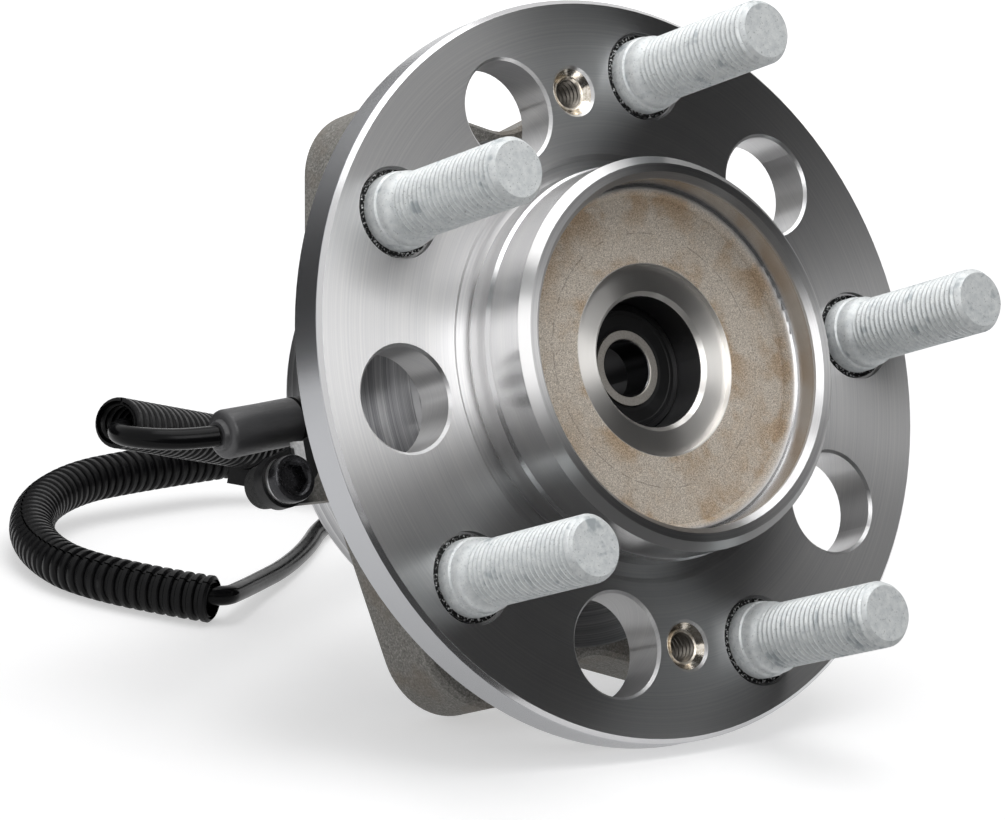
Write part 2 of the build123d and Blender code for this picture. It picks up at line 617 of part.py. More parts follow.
with BuildPart() as pilot_cage:
    with BuildSketch(HUB.offset(PILOT_MID_Z - PILOT_CAGE_LIP)):
        Circle(PILOT_PITCH_R + PILOT_CAGE_HALF)
        Circle(PILOT_PITCH_R - PILOT_CAGE_HALF, mode=Mode.SUBTRACT)
    extrude(amount=PILOT_CAGE_LIP + PILOT_BALL_R + SLIP_GAP + PILOT_CAGE_BASE)
    with Locations(HUB.offset(PILOT_MID_Z)):
        with PolarLocations(PILOT_PITCH_R, PILOT_BALL_COUNT):
            Sphere(PILOT_BALL_R + SLIP_GAP, mode=Mode.SUBTRACT)
pilot_cage.part.label = "pilot_cage"
export_step(pilot_cage.part, "parts/pilot_cage.step")

with BuildPart() as pilot_shields:
    for shield_z, outward in ((PILOT_FACE_Z, 1), (PILOT_BACK_Z, -1)):
        with BuildSketch(SECTION):
            with BuildLine():
                Polyline(
                    (SHIELD_R, shield_z - outward * 0.1),
                    (SHIELD_R, shield_z - outward * SHIELD_T),
                    (PILOT_INNER_LAND_R + LIP_GAP, shield_z - outward * SHIELD_T),
                    (PILOT_INNER_LAND_R + LIP_GAP, shield_z - outward * 0.4),
                    (PILOT_INNER_LAND_R + 1.0, shield_z - outward * 0.25),
                    (SHIELD_R - 0.9, shield_z - outward * 0.25),
                    (SHIELD_R - 0.7, shield_z - outward * 0.1),
                    close=True,
                )
            make_face()
        revolve(axis=SPIN)
pilot_shields.part.label = "pilot_shields"
export_step(pilot_shields.part, "parts/pilot_shields.step")

# ---------------------------------------------------------------- speed sensor
# Moulded body: a nose through the radial hole, a round head outside the flange's rim with a spigot
# for the boot, and an ear that lies on the pad under the screw.
NOSE_TIP = TONE_R + AIR_GAP
HEAD_START = KNUCKLE_DISC_R + 0.3
with BuildPart() as sensor_body:
    with BuildSketch(SENSOR.offset(NOSE_TIP)):
        Circle(NOSE_R)
    extrude(amount=HEAD_START - NOSE_TIP)
    with BuildSketch(SENSOR.offset(HEAD_START)):
        Circle(BOOT_R)
    extrude(amount=BOOT_START - HEAD_START)
    with BuildSketch(SENSOR.offset(BOOT_START)):
        Circle(BOOT_SPIGOT_R)
    extrude(amount=BOOT_SPIGOT_L)
    with BuildSketch(SENSOR.offset(HEAD_START)):
        with Locations(((EAR_TOP_Z - MID_Z) / 2, (WEB_TOP_Y + WEB_LOW_Y) / 2)):
            Rectangle(EAR_TOP_Z - MID_Z, WEB_TOP_Y - WEB_LOW_Y)
    extrude(amount=BOOT_START - HEAD_START)
    with BuildSketch(HUB.offset(PAD_TOP_Z)):
        with Locations((SCREW_X, SCREW_Y)):
            Circle(EAR_R)
        with Locations((-BOOT_START + EAR_ROOT_R, WEB_LOW_Y + EAR_ROOT_R)):
            Circle(EAR_ROOT_R)
        make_hull()
    extrude(amount=EAR_T)
    with BuildSketch(HUB.offset(PAD_TOP_Z)):
        with Locations((SCREW_X, SCREW_Y)):
            Circle(BUSHING_R + PRESS_GAP)
    extrude(amount=EAR_T, mode=Mode.SUBTRACT)
    with BuildSketch(SENSOR.offset(O_RING_AT - O_RING_R - SLIP_GAP)):
        Circle(NOSE_R + 1.0)
        Circle(NOSE_R + SLIP_GAP - 2 * O_RING_R, mode=Mode.SUBTRACT)
    extrude(amount=2 * (O_RING_R + SLIP_GAP), mode=Mode.SUBTRACT)
sensor_body.part.label = "sensor_body"
export_step(sensor_body.part, "parts/sensor_body.step")

with BuildPart() as sensor_o_ring:
    with Locations(SENSOR.offset(O_RING_AT)):
        Torus(NOSE_R + SLIP_GAP - O_RING_R, O_RING_R - PRESS_GAP)
sensor_o_ring.part.label = "sensor_o_ring"
export_step(sensor_o_ring.part, "parts/sensor_o_ring.step")

# Steel bushing in the ear, the steel strap under the screw head, and the socket-head screw itself.
with BuildPart() as sensor_bushing:
    with BuildSketch(HUB.offset(PAD_TOP_Z)):
        with Locations((SCREW_X, SCREW_Y)):
            Circle(BUSHING_R)
            Circle(SCREW_R + SLIP_GAP, mode=Mode.SUBTRACT)
    extrude(amount=EAR_T)
sensor_bushing.part.label = "sensor_bushing"
export_step(sensor_bushing.part, "parts/sensor_bushing.step")

with BuildPart() as sensor_strap:
    with BuildSketch(HUB.offset(EAR_TOP_Z)):
        with Locations((SCREW_X, SCREW_Y)):
            Circle(EAR_R - 0.7)
        with Locations((STRAP_X, (SCREW_Y + STRAP_TOP_Y) / 2)):
            Rectangle(STRAP_W, STRAP_TOP_Y - SCREW_Y)
        with Locations((SCREW_X, SCREW_Y)):
            Circle(SCREW_R + SLIP_GAP, mode=Mode.SUBTRACT)
    extrude(amount=BRACKET_T)
sensor_strap.part.label = "sensor_strap"
export_step(sensor_strap.part, "parts/sensor_strap.step")

with BuildPart() as sensor_screw:
    with BuildSketch(HUB.offset(PAD_TOP_Z - PAD_T)):
        with Locations((SCREW_X, SCREW_Y)):
            Circle(SCREW_R)
    extrude(amount=HEAD_BASE_Z - PAD_TOP_Z + PAD_T)
    with BuildSketch(HUB.offset(HEAD_BASE_Z)):
        with Locations((SCREW_X, SCREW_Y)):
            Circle(SCREW_HEAD_R)
    extrude(amount=SCREW_HEAD_H)
    head_rim = sensor_screw.faces().sort_by(SPIN)[-1].outer_wire().edges()
    chamfer(head_rim, 0.5)
    with BuildSketch(HUB.offset(HEAD_BASE_Z + SCREW_HEAD_H)):
        with Locations((SCREW_X, SCREW_Y)):
            RegularPolygon(SCREW_KEY / 2, 6, major_radius=False)
    extrude(amount=-SCREW_HEAD_H / 2, mode=Mode.SUBTRACT)
sensor_screw.part.label = "sensor_screw"
export_step(sensor_screw.part, "parts/sensor_screw.step")

# Rubber boot over the sensor's spigot; it droops a little and narrows to the cable.
BOOT = Plane(
    origin=HUB.from_local_coords(Vector(-BOOT_START - SLIP_GAP, 0, MID_Z)),
    x_dir=HUB.z_dir,
    z_dir=HUB.from_local_coords(Vector(-cos(BOOT_DROOP), -sin(BOOT_DROOP), 0)) - HUB.origin,
)
BOOT_SECTION = Plane(origin=BOOT.origin, x_dir=BOOT.x_dir, z_dir=-BOOT.y_dir)
BOOT_L = BOOT_END - BOOT_START
with BuildPart() as sensor_boot:
    with BuildSketch(BOOT_SECTION):
        with BuildLine():
            Polyline(
                (0, BOOT_SPIGOT_L + 0.5),
                (BOOT_SPIGOT_R + 0.5, BOOT_SPIGOT_L + 0.5),
                (BOOT_SPIGOT_R + 0.5, 0.4),
                (BOOT_R, 0.4),
                (BOOT_R, BOOT_L - 1.2),
                (BOOT_R - 0.4, BOOT_L - 0.4),
                (BOOT_R - 1.2, BOOT_L),
                (LEAD_R + 1.1, BOOT_L),
                (LEAD_R + 0.3, BOOT_L + BOOT_TAPER),
                (0, BOOT_L + BOOT_TAPER),
                close=True,
            )
        make_face()
    revolve(axis=Axis(BOOT.origin, BOOT.z_dir))
sensor_boot.part.label = "sensor_boot"
export_step(sensor_boot.part, "parts/sensor_boot.step")


# ---------------------------------------------------------------- cable, conduit and connector
def corner_radii(route):
    """Largest tangent arc at each corner of a route: 0.45 of its shorter run over tan(half the turn)."""
    points = [Vector(*point) for point in route]
    radii = []
    for before, here, after in zip(points, points[1:], points[2:]):
        half_turn = radians((here - before).get_angle(after - here)) / 2
        shorter = min((here - before).length, (after - here).length)
        radii.append(0.45 * shorter / tan(half_turn))
    return radii


def report_tube(name, tube, path, area):
    """Prints a tube's length, tightest radius and its volume against section times length."""
    print(name, "length", round(path.length, 1), "volume share", round(tube.volume / area / path.length, 4))


boot_tip = BOOT.origin + BOOT.z_dir * (BOOT_L + BOOT_TAPER)
SENSOR_LEAD_ROUTE = [
    tuple(boot_tip),
    (-86.2, 32.0, 60.1),
    (-93.2, 36.5, 59.8),
    (-96.0, 43.4, 59.4),
    (-90.9, 50.4, 58.9),
    (-84.9, 53.9, 57.4),
]
CONDUIT_ROUTE = [
    (-91.4, 50.9, 60.0),
    (-55.6, 69.3, 49.8),
    (-17.6, 88.7, 39.2),
    (22.4, 108.7, 32.0),
    (60.7, 127.8, 26.3),
    (67.4, 162.1, 19.5),
    (42.2, 188.2, 11.6),
    (4.0, 184.2, 11.0),
    (-15.5, 180.0, 10.6),
    (-33.6, 169.2, 8.4),
    (-47.6, 147.2, 5.8),
    (-51.0, 116.5, 5.6),
    (-34.4, 91.5, 5.6),
]
TAIL_ROUTE = [
    (-39.7, 97.6, 6.2),
    (-33.7, 88.9, 6.6),
    (-25.0, 94.9, 5.8),
    (-14.1, 103.7, 4.4),
    (3.4, 116.7, 3.0),
    (21.4, 132.2, 2.5),
    (37.4, 148.7, 2.5),
    (CONNECTOR_X - 22.0, CONNECTOR_Y, CONNECTOR_H / 2),
    (CONNECTOR_X, CONNECTOR_Y, CONNECTOR_H / 2),
]
for route_name, route in (("lead", SENSOR_LEAD_ROUTE), ("conduit", CONDUIT_ROUTE), ("tail", TAIL_ROUTE)):
    print(route_name, "radii", [round(radius, 1) for radius in corner_radii(route)])

with BuildLine() as lead_path:
    FilletPolyline(*SENSOR_LEAD_ROUTE, radius=corner_radii(SENSOR_LEAD_ROUTE))
lead_wire = lead_path.wire()
with BuildPart() as sensor_lead:
    with BuildSketch(Plane(origin=lead_wire @ 0, z_dir=lead_wire % 0)):
        Circle(LEAD_R)
    sweep(path=lead_wire)
report_tube("sensor_lead", sensor_lead.part, lead_wire, pi * LEAD_R**2)
sensor_lead.part.label = "sensor_lead"
export_step(sensor_lead.part, "parts/sensor_lead.step")

# Slit corrugated conduit, open at both ends where the cable goes in and comes out.
with BuildLine() as conduit_path:
    FilletPolyline(*CONDUIT_ROUTE, radius=corner_radii(CONDUIT_ROUTE))
conduit_wire = conduit_path.wire()
with BuildPart() as conduit:
    with BuildSketch(Plane(origin=conduit_wire @ 0, z_dir=conduit_wire % 0)):
        Circle(CONDUIT_R)
    sweep(path=conduit_wire)
    report_tube("conduit", conduit.part, conduit_wire, pi * CONDUIT_R**2)
    for mouth, inward in (
        (conduit_wire @ 0, conduit_wire % 0),
        (conduit_wire @ 1, -(conduit_wire % 1)),
    ):
        with BuildSketch(Plane(origin=mouth, z_dir=inward)):
            Circle(CONDUIT_BORE_R)
        extrude(amount=MOUTH_DEPTH, mode=Mode.SUBTRACT)
conduit.part.label = "conduit"
export_step(conduit.part, "parts/conduit.step")

# Snap clip on the conduit: an open ring with a square foot and a round peg beside it.
clip_start = Vector(*CONDUIT_ROUTE[1])
clip_run = Vector(*CONDUIT_ROUTE[2]) - clip_start
CLIP = Plane(
    origin=clip_start + clip_run * CLIP_SHARE,
    x_dir=Vector(0, 0, 1).cross(clip_run),
    z_dir=clip_run,
)
with BuildPart() as conduit_clip:
    with BuildSketch(CLIP.offset(-CLIP_LENGTH / 2)):
        Circle(CONDUIT_R + CLIP_WALL)
        with Locations((-CONDUIT_R, 0)):
            Rectangle(2 * CONDUIT_R, CLIP_GAP, mode=Mode.SUBTRACT)
        with Locations((0, -CONDUIT_R - CLIP_FOOT_H / 2)):
            Rectangle(CLIP_FOOT_W, CLIP_FOOT_H)
        Circle(CONDUIT_R + SLIP_GAP, mode=Mode.SUBTRACT)
    extrude(amount=CLIP_LENGTH)
    peg_top = CLIP.from_local_coords(Vector(CLIP_PEG_X, -CONDUIT_R - CLIP_FOOT_H / 2, 0))
    with BuildSketch(Plane(origin=peg_top, z_dir=-CLIP.y_dir)):
        Circle(CLIP_PEG_R)
    extrude(amount=CLIP_PEG_L)
    chamfer(conduit_clip.edges().filter_by(GeomType.CIRCLE).sort_by(Axis.Z)[0], CLIP_PEG_R / 3)
conduit_clip.part.label = "conduit_clip"
export_step(conduit_clip.part, "parts/conduit_clip.step")

with BuildLine() as tail_path:
    FilletPolyline(*TAIL_ROUTE, radius=corner_radii(TAIL_ROUTE))
tail_wire = tail_path.wire()
with BuildPart() as tail_lead:
    with BuildSketch(Plane(origin=tail_wire @ 0, z_dir=tail_wire % 0)):
        Circle(LEAD_R)
    sweep(path=tail_wire)
report_tube("tail_lead", tail_lead.part, tail_wire, pi * LEAD_R**2)
tail_lead.part.label = "tail_lead"
export_step(tail_lead.part, "parts/tail_lead.step")

# Two-way plug lying behind the hub: housing with a latch, wire seal, two pins and a sliding lock.
PLUG = Plane(origin=(CONNECTOR_X, CONNECTOR_Y, CONNECTOR_H / 2), x_dir=(0, 1, 0), z_dir=(1, 0, 0))
with BuildPart() as connector_seal:
    with BuildSketch(PLUG):
        Circle(PLUG_SEAL_R)
    extrude(amount=PLUG_SEAL_L)
    with BuildSketch(PLUG.offset(PLUG_SEAL_L * 0.35)):
        Circle(PLUG_SEAL_R)
        Circle(PLUG_SEAL_R - 0.6, mode=Mode.SUBTRACT)
    extrude(amount=PLUG_SEAL_L * 0.3, mode=Mode.SUBTRACT)
connector_seal.part.label = "connector_seal"
export_step(connector_seal.part, "parts/connector_seal.step")

with BuildPart() as connector_housing:
    with BuildSketch(PLUG.offset(PLUG_SEAL_L)):
        Circle(PLUG_SEAL_R + 1.0)
    extrude(amount=PLUG_NECK_L)
    with BuildSketch(PLUG.offset(PLUG_SEAL_L + PLUG_NECK_L)):
        RectangleRounded(CONNECTOR_W, CONNECTOR_H, 2.5)
    extrude(amount=CONNECTOR_L)
    with BuildSketch(PLUG.offset(PLUG_SEAL_L + PLUG_NECK_L + CONNECTOR_L)):
        RectangleRounded(CONNECTOR_W - 2 * PLUG_WALL, CONNECTOR_H - 2 * PLUG_WALL, 1.2)
    extrude(amount=-PLUG_CAVITY, mode=Mode.SUBTRACT)
    with BuildSketch(PLUG.offset(PLUG_SEAL_L + PLUG_NECK_L + 4.0)):
        with Locations((0, CONNECTOR_H / 2)):
            Rectangle(PLUG_LATCH_W, 2.0)
    extrude(amount=PLUG_LATCH_L)
connector_housing.part.label = "connector_housing"
export_step(connector_housing.part, "parts/connector_housing.step")

with BuildPart() as connector_pins:
    with BuildSketch(PLUG.offset(PLUG_SEAL_L + PLUG_NECK_L + CONNECTOR_L - PLUG_CAVITY)):
        with GridLocations(PIN_PITCH, 1, 2, 1):
            Rectangle(1.5, 0.8)
    extrude(amount=PLUG_CAVITY / 2)
connector_pins.part.label = "connector_pins"
export_step(connector_pins.part, "parts/connector_pins.step")

with BuildPart() as connector_lock:
    with BuildSketch(PLUG.offset(PLUG_SEAL_L + PLUG_NECK_L + 4.0 + PLUG_LATCH_L + SLIP_GAP)):
        with Locations((0, CONNECTOR_H / 2 + 0.65)):
            Rectangle(PLUG_LATCH_W, 1.3)
    extrude(amount=4.0)
connector_lock.part.label = "connector_lock"
export_step(connector_lock.part, "parts/connector_lock.step")
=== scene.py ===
"""Looks of the wheel hub bearing: threads, ribbed sleeve, moulded details and every finish."""

import json
import math

import bpy
from mathutils import Matrix, Vector


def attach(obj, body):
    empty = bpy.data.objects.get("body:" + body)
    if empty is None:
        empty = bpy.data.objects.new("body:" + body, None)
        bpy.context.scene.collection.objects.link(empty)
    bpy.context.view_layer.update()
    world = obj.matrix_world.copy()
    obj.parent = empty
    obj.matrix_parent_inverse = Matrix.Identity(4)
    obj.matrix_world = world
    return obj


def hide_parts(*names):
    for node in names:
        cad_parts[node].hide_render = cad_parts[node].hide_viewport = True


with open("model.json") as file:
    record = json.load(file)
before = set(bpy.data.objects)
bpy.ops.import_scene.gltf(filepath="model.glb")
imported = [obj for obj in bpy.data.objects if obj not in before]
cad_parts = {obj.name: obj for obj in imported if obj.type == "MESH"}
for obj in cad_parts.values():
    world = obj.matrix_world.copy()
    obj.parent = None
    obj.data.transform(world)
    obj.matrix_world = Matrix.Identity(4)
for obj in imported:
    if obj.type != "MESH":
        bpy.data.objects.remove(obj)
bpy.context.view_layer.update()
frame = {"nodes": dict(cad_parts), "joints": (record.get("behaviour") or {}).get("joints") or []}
nodes = frame["nodes"]
scene = bpy.context.scene


# ---------------------------------------------------------------- hub flange
# One steel forging, turned all over in front except the floor of the pilot cup, which keeps its
# forged skin. The turned faces carry fine feed marks round the spin axis, and the rim is ground.
FLANGE_R = 0.080
EDGE_WIDTH = 0.001
PILOT_R = 0.042
PILOT_HEIGHT = 0.018
PILOT_CHAMFER = 0.0019
CUP_R = 0.0372
CUP_FLOOR_Z = 0.0085
SPOT_FACE_R = 0.0205
BORE_MOUTH_R = 0.0170
BORE_MOUTH_Z = 0.0063
DIE_SEAM_R = 0.0272
FACE_AHEAD_OF_JOINT = 0.039

spin_joint = next(joint for joint in frame["joints"] if joint["name"] == "hub_spin")
SPIN_AXIS = Vector(spin_joint["axis"]).normalized()
HUB_CENTRE = Vector(spin_joint["pos_m"]) + FACE_AHEAD_OF_JOINT * SPIN_AXIS
ACROSS = Vector((1, 0, 0))
UPWARD = SPIN_AXIS.cross(ACROSS)
HUB = Matrix.Translation(HUB_CENTRE) @ Matrix((ACROSS, UPWARD, SPIN_AXIS)).transposed().to_4x4()


def add(tree, kind, inputs=None, **settings):
    """Adds a shader node, sets its options, and links or sets its inputs by name or number."""
    made = tree.nodes.new("ShaderNode" + kind)
    for name, value in settings.items():
        setattr(made, name, value)
    for name, value in (inputs or {}).items():
        if isinstance(value, bpy.types.NodeSocket):
            tree.links.new(value, made.inputs[name])
        else:
            made.inputs[name].default_value = value
    return made


def maths(tree, operation, first, second=0.0, third=0.0):
    """The output of one Math node."""
    return add(tree, "Math", {0: first, 1: second, 2: third}, operation=operation).outputs[0]


def ramp(tree, factor, *stops):
    """A colour ramp through (place, colour) stops; a single number is a grey."""
    made = add(tree, "ValToRGB", {"Fac": factor})
    elements = made.color_ramp.elements
    while len(elements) < len(stops):
        elements.new(0.5)
    for element, (place, colour) in zip(elements, stops):
        element.position = place
        element.color = (*colour, 1) if hasattr(colour, "__len__") else (colour, colour, colour, 1)
    return made.outputs["Color"]


def blend_colours(tree, factor, first, second, blend_type="MIX"):
    """The output of one colour Mix node; a colour is three numbers or a socket."""
    made = add(tree, "Mix", data_type="RGBA", blend_type=blend_type)
    for socket, value in ((made.inputs[0], factor), (made.inputs[6], first), (made.inputs[7], second)):
        if isinstance(value, bpy.types.NodeSocket):
            tree.links.new(value, socket)
        elif hasattr(value, "__len__"):
            socket.default_value = (*value, 1)
        else:
            socket.default_value = value
    return made.outputs[2]


def blend_values(tree, factor, first, second):
    """The output of one number Mix node."""
    return add(tree, "Mix", {0: factor, 2: first, 3: second}).outputs[0]


def new_finish(name, metallic, roughness, colour=(0.5, 0.5, 0.5), **values):
    """A material with its shader's plain values set, and its node tree."""
    material = bpy.data.materials.new(name)
    material.use_nodes = True
    tree = material.node_tree
    shader = tree.nodes["Principled BSDF"]
    shader.inputs["Metallic"].default_value = metallic
    shader.inputs["Roughness"].default_value = roughness
    shader.inputs["Base Color"].default_value = (*colour, 1)
    for socket, value in values.items():
        shader.inputs[socket.replace("_", " ")].default_value = value
    return material, tree, shader


def object_place(tree):
    """Object coordinates, in metres in the row frame."""
    return add(tree, "TexCoord").outputs["Object"]


def hub_place(tree):
    """Object coordinates turned into the hub's own: z along the spin axis from the flange's face."""
    turn = HUB.to_euler()
    return add(
        tree,
        "Mapping",
        {"Vector": object_place(tree), "Location": HUB_CENTRE, "Rotation": (turn.x, turn.y, turn.z)},
        vector_type="TEXTURE",
    ).outputs[0]


def radius_and_height(tree):
    """Distance from the spin axis and distance in front of the flange's face, in metres."""
    parts = add(tree, "SeparateXYZ", {0: hub_place(tree)})
    flat = add(tree, "CombineXYZ", {0: parts.outputs[0], 1: parts.outputs[1]})
    radius = add(tree, "VectorMath", {0: flat.outputs[0]}, operation="LENGTH").outputs["Value"]
    return radius, parts.outputs[2]


def round_the_axis(tree, centre=HUB_CENTRE, axis=SPIN_AXIS):
    """Tangent that runs round an axis, for the streaked shine of turned metal."""
    away = add(tree, "VectorMath", {0: object_place(tree), 1: centre}, operation="SUBTRACT").outputs[0]
    round_it = add(tree, "VectorMath", {0: axis, 1: away}, operation="CROSS_PRODUCT").outputs[0]
    turned = add(
        tree,
        "VectorTransform",
        {0: round_it},
        vector_type="VECTOR",
        convert_from="OBJECT",
        convert_to="WORLD",
    )
    return add(tree, "VectorMath", {0: turned.outputs[0]}, operation="NORMALIZE").outputs[0]


def feed_marks(tree, along, marks_per_metre, detail=3.0):
    """Streaks that change only along one distance, as a turning tool leaves them."""
    place = maths(tree, "MULTIPLY", along, marks_per_metre)
    inputs = {"W": place, "Scale": 1.0, "Detail": detail, "Roughness": 0.65}
    return add(tree, "TexNoise", inputs, noise_dimensions="1D").outputs[0]


def speckle(tree, scale, detail=4.0, roughness=0.6, place=None):
    """Plain noise in object coordinates, about scale features to the metre."""
    place = place or object_place(tree)
    inputs = {"Vector": place, "Scale": scale, "Detail": detail, "Roughness": roughness}
    return add(tree, "TexNoise", inputs).outputs[0]


def relief(tree, shader, height, depth, strength=1.0):
    """Bump of the given depth in metres under the shader's normal."""
    bump = add(tree, "Bump", {"Height": height, "Distance": depth, "Strength": strength})
    tree.links.new(bump.outputs[0], shader.inputs["Normal"])


def step(tree, value, edge, width):
    """0 below the edge and 1 above it, with a ramp of the given width."""
    inputs = {0: value, 1: edge - width / 2, 2: edge + width / 2}
    return add(tree, "MapRange", inputs, interpolation_type="SMOOTHSTEP").outputs[0]


def opposite(tree, mask):
    """1 where a mask is 0 and 0 where it is 1."""
    return maths(tree, "SUBTRACT", 1.0, mask)


def both(tree, first, second):
    """1 where two masks both are."""
    return maths(tree, "MULTIPLY", first, second)


def above(tree, value, edge):
    """1 where a distance is above an edge, with no ramp."""
    return maths(tree, "GREATER_THAN", value, edge)


def below(tree, value, edge):
    """1 where a distance is below an edge, with no ramp."""
    return maths(tree, "LESS_THAN", value, edge)


def wear(piece, material):
    """Gives a CAD node or a new piece one material."""
    target = nodes[piece] if isinstance(piece, str) else piece
    target.data.materials.clear()
    target.data.materials.append(material)


turned_steel, tree, shader = new_finish("turned_steel", 1.0, 0.36, Anisotropic_Rotation=0.25)
tree.links.new(round_the_axis(tree), shader.inputs["Tangent"])
radius, height = radius_and_height(tree)
across = maths(tree, "ADD", radius, height)
marks = feed_marks(tree, across, 2300.0)
coarse_marks = maths(tree, "MULTIPLY", feed_marks(tree, across, 260.0, 2.0), 0.25)
tone = maths(tree, "ADD", maths(tree, "MULTIPLY", marks, 0.75), coarse_marks)
steel_colour = ramp(tree, tone, (0.30, (0.56, 0.56, 0.57)), (0.70, (0.66, 0.655, 0.65)))

# Where each kind of surface is: the ground rim and its edge, the bore, the smoother wall of the
# pilot ring, the ring round the bore, and the floor of the cup with its forged skin. Painted shade
# makes the rim darker and the bore near-black; painted light makes the ring round the bore brighter.
on_rim = step(tree, radius, FLANGE_R - 0.00012, 0.0001)
on_edge = step(tree, radius, FLANGE_R - EDGE_WIDTH + 0.00005, 0.0001)
in_bore = both(tree, below(tree, radius, BORE_MOUTH_R), below(tree, height, BORE_MOUTH_Z))
behind_chamfer = below(tree, height, PILOT_HEIGHT - PILOT_CHAMFER)
on_pilot = both(tree, below(tree, radius, PILOT_R + 0.0007), above(tree, height, 0.0002))
on_pilot = both(tree, on_pilot, both(tree, behind_chamfer, above(tree, radius, CUP_R - 0.0005)))
in_cup = opposite(tree, step(tree, radius, CUP_R - 0.0007, 0.0008))
outside_spot_face = step(tree, radius, SPOT_FACE_R + 0.0002, 0.0004)
on_spot_face = both(tree, opposite(tree, outside_spot_face), above(tree, height, BORE_MOUTH_Z))
near_floor = opposite(tree, step(tree, height, CUP_FLOOR_Z + 0.0020, 0.0014))
near_floor = both(tree, near_floor, above(tree, height, 0.0))
forged = both(tree, both(tree, in_cup, outside_spot_face), near_floor)

# Painted shade: the ground rim is coloured darker than the turned face.
steel_colour = blend_colours(tree, on_rim, steel_colour, (0.46, 0.465, 0.48))
# Painted shade: the bore is coloured near-black.
steel_colour = blend_colours(tree, in_bore, steel_colour, (0.07, 0.07, 0.073))
# Painted light: the ring round the bore is coloured brighter than the turned face.
steel_colour = blend_colours(tree, on_spot_face, steel_colour, (0.86, 0.84, 0.81))

grain = speckle(tree, 3700.0, 4.0, 0.8)
blotches = step(tree, speckle(tree, 110.0, 3.0), 0.52, 0.2)
skin = ramp(
    tree, grain, (0.32, (0.21, 0.18, 0.145)), (0.50, (0.60, 0.53, 0.45)), (0.68, (0.98, 0.91, 0.81))
)
near_cup_wall = step(tree, radius, CUP_R - 0.0062, 0.008)
near_spot_face = opposite(tree, step(tree, radius, SPOT_FACE_R + 0.0035, 0.006))
near_edges = maths(tree, "ADD", near_cup_wall, near_spot_face)
rust = both(tree, maths(tree, "MULTIPLY_ADD", near_edges, 0.6, 0.25), blotches)
skin = blend_colours(tree, maths(tree, "MULTIPLY", rust, 0.75), skin, (0.70, 0.50, 0.28), "MULTIPLY")
off_seam = maths(tree, "ABSOLUTE", maths(tree, "SUBTRACT", radius, DIE_SEAM_R))
broken = step(tree, speckle(tree, 420.0), 0.5, 0.08)
seam = both(tree, below(tree, off_seam, 0.00012), broken)
skin = blend_colours(tree, maths(tree, "MULTIPLY", seam, 0.5), skin, (0.16, 0.13, 0.10))
tree.links.new(blend_colours(tree, forged, steel_colour, skin), shader.inputs["Base Color"])
tree.links.new(opposite(tree, maths(tree, "MULTIPLY", forged, 0.85)), shader.inputs["Metallic"])

smooth = maths(tree, "MAXIMUM", on_edge, maths(tree, "MULTIPLY", on_pilot, 0.6))
tree.links.new(maths(tree, "MULTIPLY_ADD", smooth, -0.55, 0.93), shader.inputs["Anisotropic"])
turned_roughness = maths(tree, "MULTIPLY_ADD", marks, 0.10, 0.30)
turned_roughness = maths(tree, "MULTIPLY_ADD", on_pilot, -0.12, turned_roughness)
ground_roughness = maths(tree, "MULTIPLY_ADD", on_rim, 0.11, 0.16)
roughness = blend_values(tree, on_edge, turned_roughness, ground_roughness)
tree.links.new(blend_values(tree, forged, roughness, 0.78), shader.inputs["Roughness"])
fine_marks = maths(tree, "MULTIPLY", marks, 0.05)
relief(tree, shader, maths(tree, "MULTIPLY_ADD", both(tree, grain, forged), 0.8, fine_marks), 0.00025)
wear("hub_flange", turned_steel)


# ---------------------------------------------------------------- wheel studs
# Five M14 x 1.5 studs, cold headed, thread rolled and zinc plated. Each is pulled in from behind
# until its head seats, and its knurl stands as a toothed ring in the sink, near-black with painted shade.
STUD_PCD_R = 0.065
STUD_FIRST_TURN = math.radians(74.3)
STUD_TIP_Z = 0.0409
THREAD_R = 0.0070
THREAD_ROOT_R = 0.00632
THREAD_PITCH = 0.0015
THREAD_START_Z = 0.0074
NECK_R = 0.0062
SHOULDER_R = 0.0078
COLLAR_R = 0.0082
SHANK_R = 0.0085
HEAD_R = 0.0110
HEAD_FRONT_Z = -0.0105
HEAD_BACK_Z = -0.0145
KNURL_R = 0.0097
KNURL_ROOT_SHARE = 0.945
KNURL_TEETH = 44
KNURL_BACK_Z = -0.0102
KNURL_LENGTH = 0.0096
STUD_COUNT = 5
STUD_OWN_TURN = 1.9
SHARP_EDGE = math.radians(32)


def pick(piece):
    """Makes a piece the only selected one, and the active one."""
    bpy.ops.object.select_all(action="DESELECT")
    bpy.context.view_layer.objects.active = piece
    piece.select_set(True)


def drawn_line(name, points, closed=False):
    """A new active piece that is so far one line through (radius, height) points."""
    mesh = bpy.data.meshes.new(name)
    ends = [(number, number + 1) for number in range(len(points) - 1)]
    if closed:
        ends.append((len(points) - 1, 0))
    mesh.from_pydata([(across, 0, along) for across, along in points], ends, [])
    made = bpy.data.objects.new(name, mesh)
    scene.collection.objects.link(made)
    pick(made)
    return made


def apply_all(piece):
    """Applies every modifier of the active piece."""
    for name in [modifier.name for modifier in piece.modifiers]:
        bpy.ops.object.modifier_apply(modifier=name)


def weld(spacing=1e-6):
    """Joins the active piece's meeting points and turns its faces outward."""
    bpy.ops.object.mode_set(mode="EDIT")
    bpy.ops.mesh.select_all(action="SELECT")
    bpy.ops.mesh.remove_doubles(threshold=spacing)
    bpy.ops.mesh.normals_make_consistent(inside=False)
    bpy.ops.object.mode_set(mode="OBJECT")


def turned(name, points, steps, closed=False):
    """A piece turned on the lathe: its outline spun once round z."""
    made = drawn_line(name, points, closed)
    bpy.ops.object.mode_set(mode="EDIT")
    bpy.ops.mesh.select_all(action="SELECT")
    bpy.ops.mesh.spin(steps=steps, angle=2 * math.pi, center=(0, 0, 0), axis=(0, 0, 1))
    bpy.ops.object.mode_set(mode="OBJECT")
    weld()
    return made


